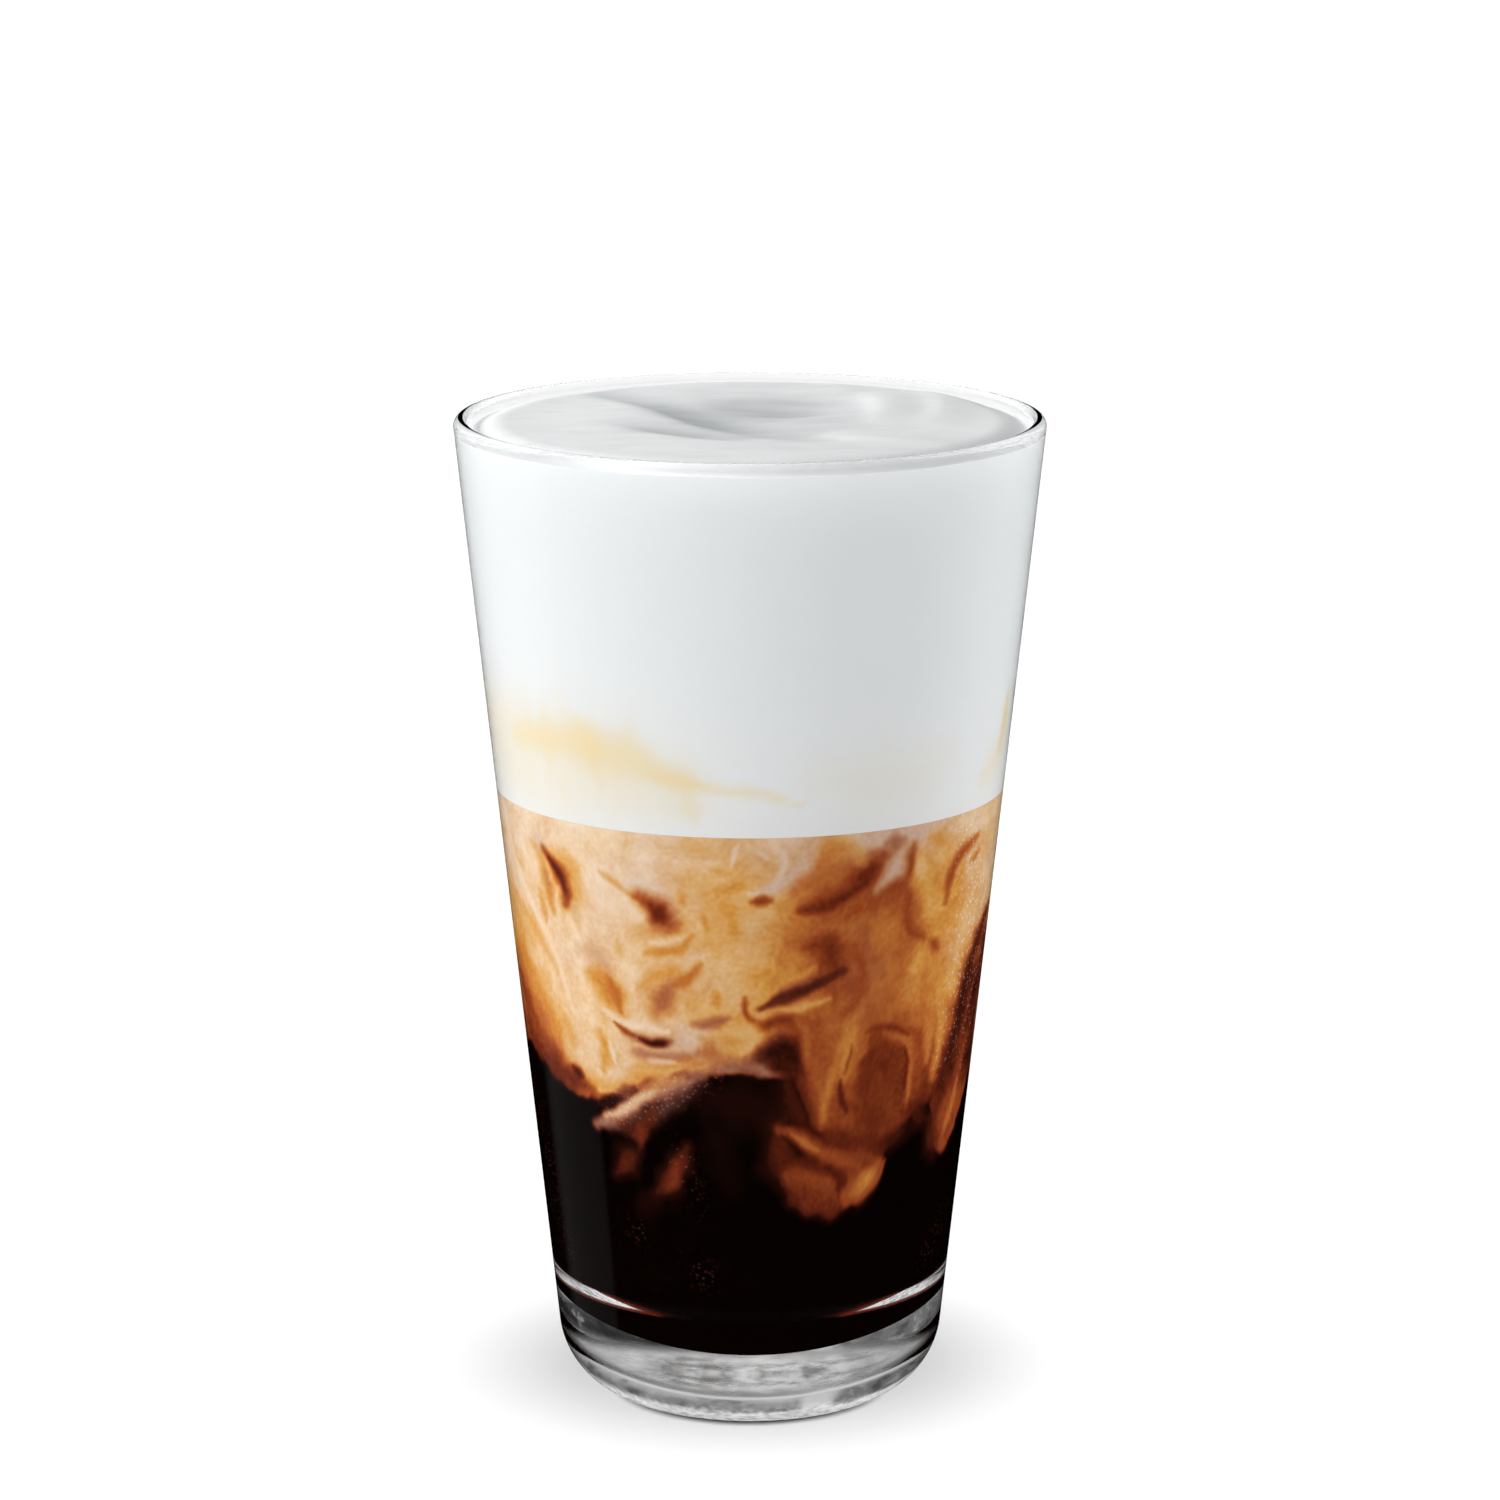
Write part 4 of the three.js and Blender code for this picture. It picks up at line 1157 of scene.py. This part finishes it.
def floor_material():
    """Pale floor that glows a little, so that it stays white, with a painted contact shadow, nearly black
    where the glass stands, a painted soft shadow round the glass and a painted pool of light under its
    foot.
    """
    new, tree, shader = material("Pale floor", {
        "Emission Color": WHITE, "Roughness": 1.0, "Specular IOR Level": 0.0})
    centre, shadow_centre = (0.0, 0.0, 0.0), (0.0, 12 * MM, 0.0)
    painted_contact_shadow, pale = (0.01, 0.01, 0.01, 1), (0.3, 0.3, 0.3, 1)
    away = tree.distance(tree.place(), centre)
    # a painted contact shadow: the floor is nearly black and doesn't glow under and just round the foot
    out_of_contact_shadow = tree.mapped(away, 18.5 * MM, 22 * MM)
    tree.put(shader["Base Color"], tree.mixed(out_of_contact_shadow, painted_contact_shadow, pale))
    # a painted soft shadow round the glass, centred a little behind it, where the floor glows less
    halo = tree.mapped(tree.distance(tree.place(), shadow_centre), 14 * MM, 54 * MM)
    halo_glow, even_glow, pool_glow = 0.5, 0.43, 1.1
    glow = tree.product(tree.total(tree.product(halo, halo_glow), tree.product(out_of_contact_shadow, even_glow)), out_of_contact_shadow)
    # a painted pool of light on the floor under the glass's foot, where only the glass shows it, for light
    # that the glass gathers there
    painted_pool_of_light = tree.product(tree.mapped(away, 16.5 * MM, 14.5 * MM), pool_glow)
    tree.put(shader["Emission Strength"], tree.total(glow, painted_pool_of_light))
    return new


def floor_pieces():
    """The floor round the glass and the small disc under it, which alone shows through the glass."""
    disc_radius, reach = 30 * MM, 4.0
    pale = floor_material()
    deselect()
    bpy.ops.mesh.primitive_circle_add(vertices=96, radius=disc_radius, fill_type="NGON")
    disc = bpy.context.object
    disc.name = "floor_disc"
    deselect()
    bpy.ops.mesh.primitive_circle_add(vertices=96, radius=disc_radius)
    floor = bpy.context.object
    floor.name = "floor"
    bpy.ops.object.mode_set(mode="EDIT")
    bpy.ops.mesh.select_all(action="SELECT")
    bpy.ops.mesh.extrude_region_move()
    bpy.ops.transform.resize(value=(reach / disc_radius,) * 3)
    bpy.ops.mesh.select_all(action="SELECT")
    bpy.ops.mesh.normals_make_consistent(inside=False)
    bpy.ops.object.mode_set(mode="OBJECT")
    for piece in (disc, floor):
        piece.data.materials.append(pale)
        piece.visible_glossy = False
    floor.visible_transmission = False


def photo_camera():
    """Camera at the photo's place. The picture is square, 1500 pixels wide."""
    focal_pixels, picture_pixels = 5960, 1500
    data = bpy.data.cameras.new("camera")
    data.sensor_width = 36
    data.lens = 36 * focal_pixels / picture_pixels
    camera = bpy.data.objects.new("camera", data)
    camera.location = (0, -0.880, 0.291)
    camera.rotation_euler = (math.radians(90 - 12.25), 0, 0)
    bpy.context.collection.objects.link(camera)
    bpy.context.scene.camera = camera


# Operators and panel

class BuildStage(Operator):
    """Floor, surroundings, lights and camera"""
    bl_idname = "cappuccino.stage"
    bl_label = "Stage"

    def execute(self, context):
        floor_pieces()
        surroundings()
        foam_light()
        photo_camera()
        context.scene.view_settings.view_transform = "Standard"
        context.scene.cycles.max_bounces = 8
        context.scene.cycles.diffuse_bounces = 2
        return {"FINISHED"}


class BuildGlass(Operator):
    """Smooth clear glass"""
    bl_idname = "cappuccino.glass"
    bl_label = "Glass"

    def execute(self, context):
        piece = spun_piece("clear_glass", glass_section(), context.scene.cappuccino_glass.turns)
        finish_piece(piece, "glass", glass_material())
        return {"FINISHED"}


class BuildDarkCoffee(Operator):
    """Dark coffee with wisps of milk"""
    bl_idname = "cappuccino.dark_coffee"
    bl_label = "Dark coffee"

    def execute(self, context):
        piece = dark_coffee_piece()
        paint_marbling(piece)
        finish_piece(piece, "dark_coffee", coffee_material("Dark coffee"))
        return {"FINISHED"}


class BuildMilkyCoffee(Operator):
    """Milk marbled through coffee"""
    bl_idname = "cappuccino.milky_coffee"
    bl_label = "Milky coffee"

    def execute(self, context):
        piece = milky_coffee_piece()
        paint_marbling(piece)
        finish_piece(piece, "milky_coffee", coffee_material("Milky coffee"))
        return {"FINISHED"}


class BuildFoam(Operator):
    """Stirred milk foam"""
    bl_idname = "cappuccino.foam"
    bl_label = "Milk foam"

    def execute(self, context):
        piece = foam_piece()
        paint_stain(piece)
        finish_piece(piece, "milk_foam", foam_material())
        return {"FINISHED"}


BUILDERS = (BuildGlass, BuildDarkCoffee, BuildMilkyCoffee, BuildFoam, BuildStage)


class CappuccinoPanel(Panel):
    """Lists the pieces of the iced cappuccino"""
    bl_idname = "VIEW3D_PT_cappuccino"
    bl_label = "Iced cappuccino"
    bl_space_type = "VIEW_3D"
    bl_region_type = "UI"
    bl_category = "Cappuccino"

    def draw(self, context):
        for builder in BUILDERS:
            self.layout.operator(builder.bl_idname)
        for group in SETTINGS:
            box = self.layout.box()
            values = getattr(context.scene, group)
            for name in values.__annotations__:
                box.prop(values, name)


SETTINGS = {"cappuccino_glass": GlassSizes, "cappuccino_drink": DrinkSizes,
            "cappuccino_colours": DrinkColours, "cappuccino_stage": StageSettings}


def register():
    for cls in (*SETTINGS.values(), *BUILDERS, CappuccinoPanel):
        bpy.utils.register_class(cls)
    for name, cls in SETTINGS.items():
        setattr(bpy.types.Scene, name, PointerProperty(type=cls))


def unregister():
    for name in SETTINGS:
        delattr(bpy.types.Scene, name)
    for cls in (CappuccinoPanel, *reversed(BUILDERS), *reversed(SETTINGS.values())):
        bpy.utils.unregister_class(cls)


def main():
    register()
    bpy.ops.cappuccino.glass()
    bpy.ops.cappuccino.dark_coffee()
    bpy.ops.cappuccino.milky_coffee()
    bpy.ops.cappuccino.foam()
    bpy.ops.cappuccino.stage()


if __name__ == "__main__":
    main()
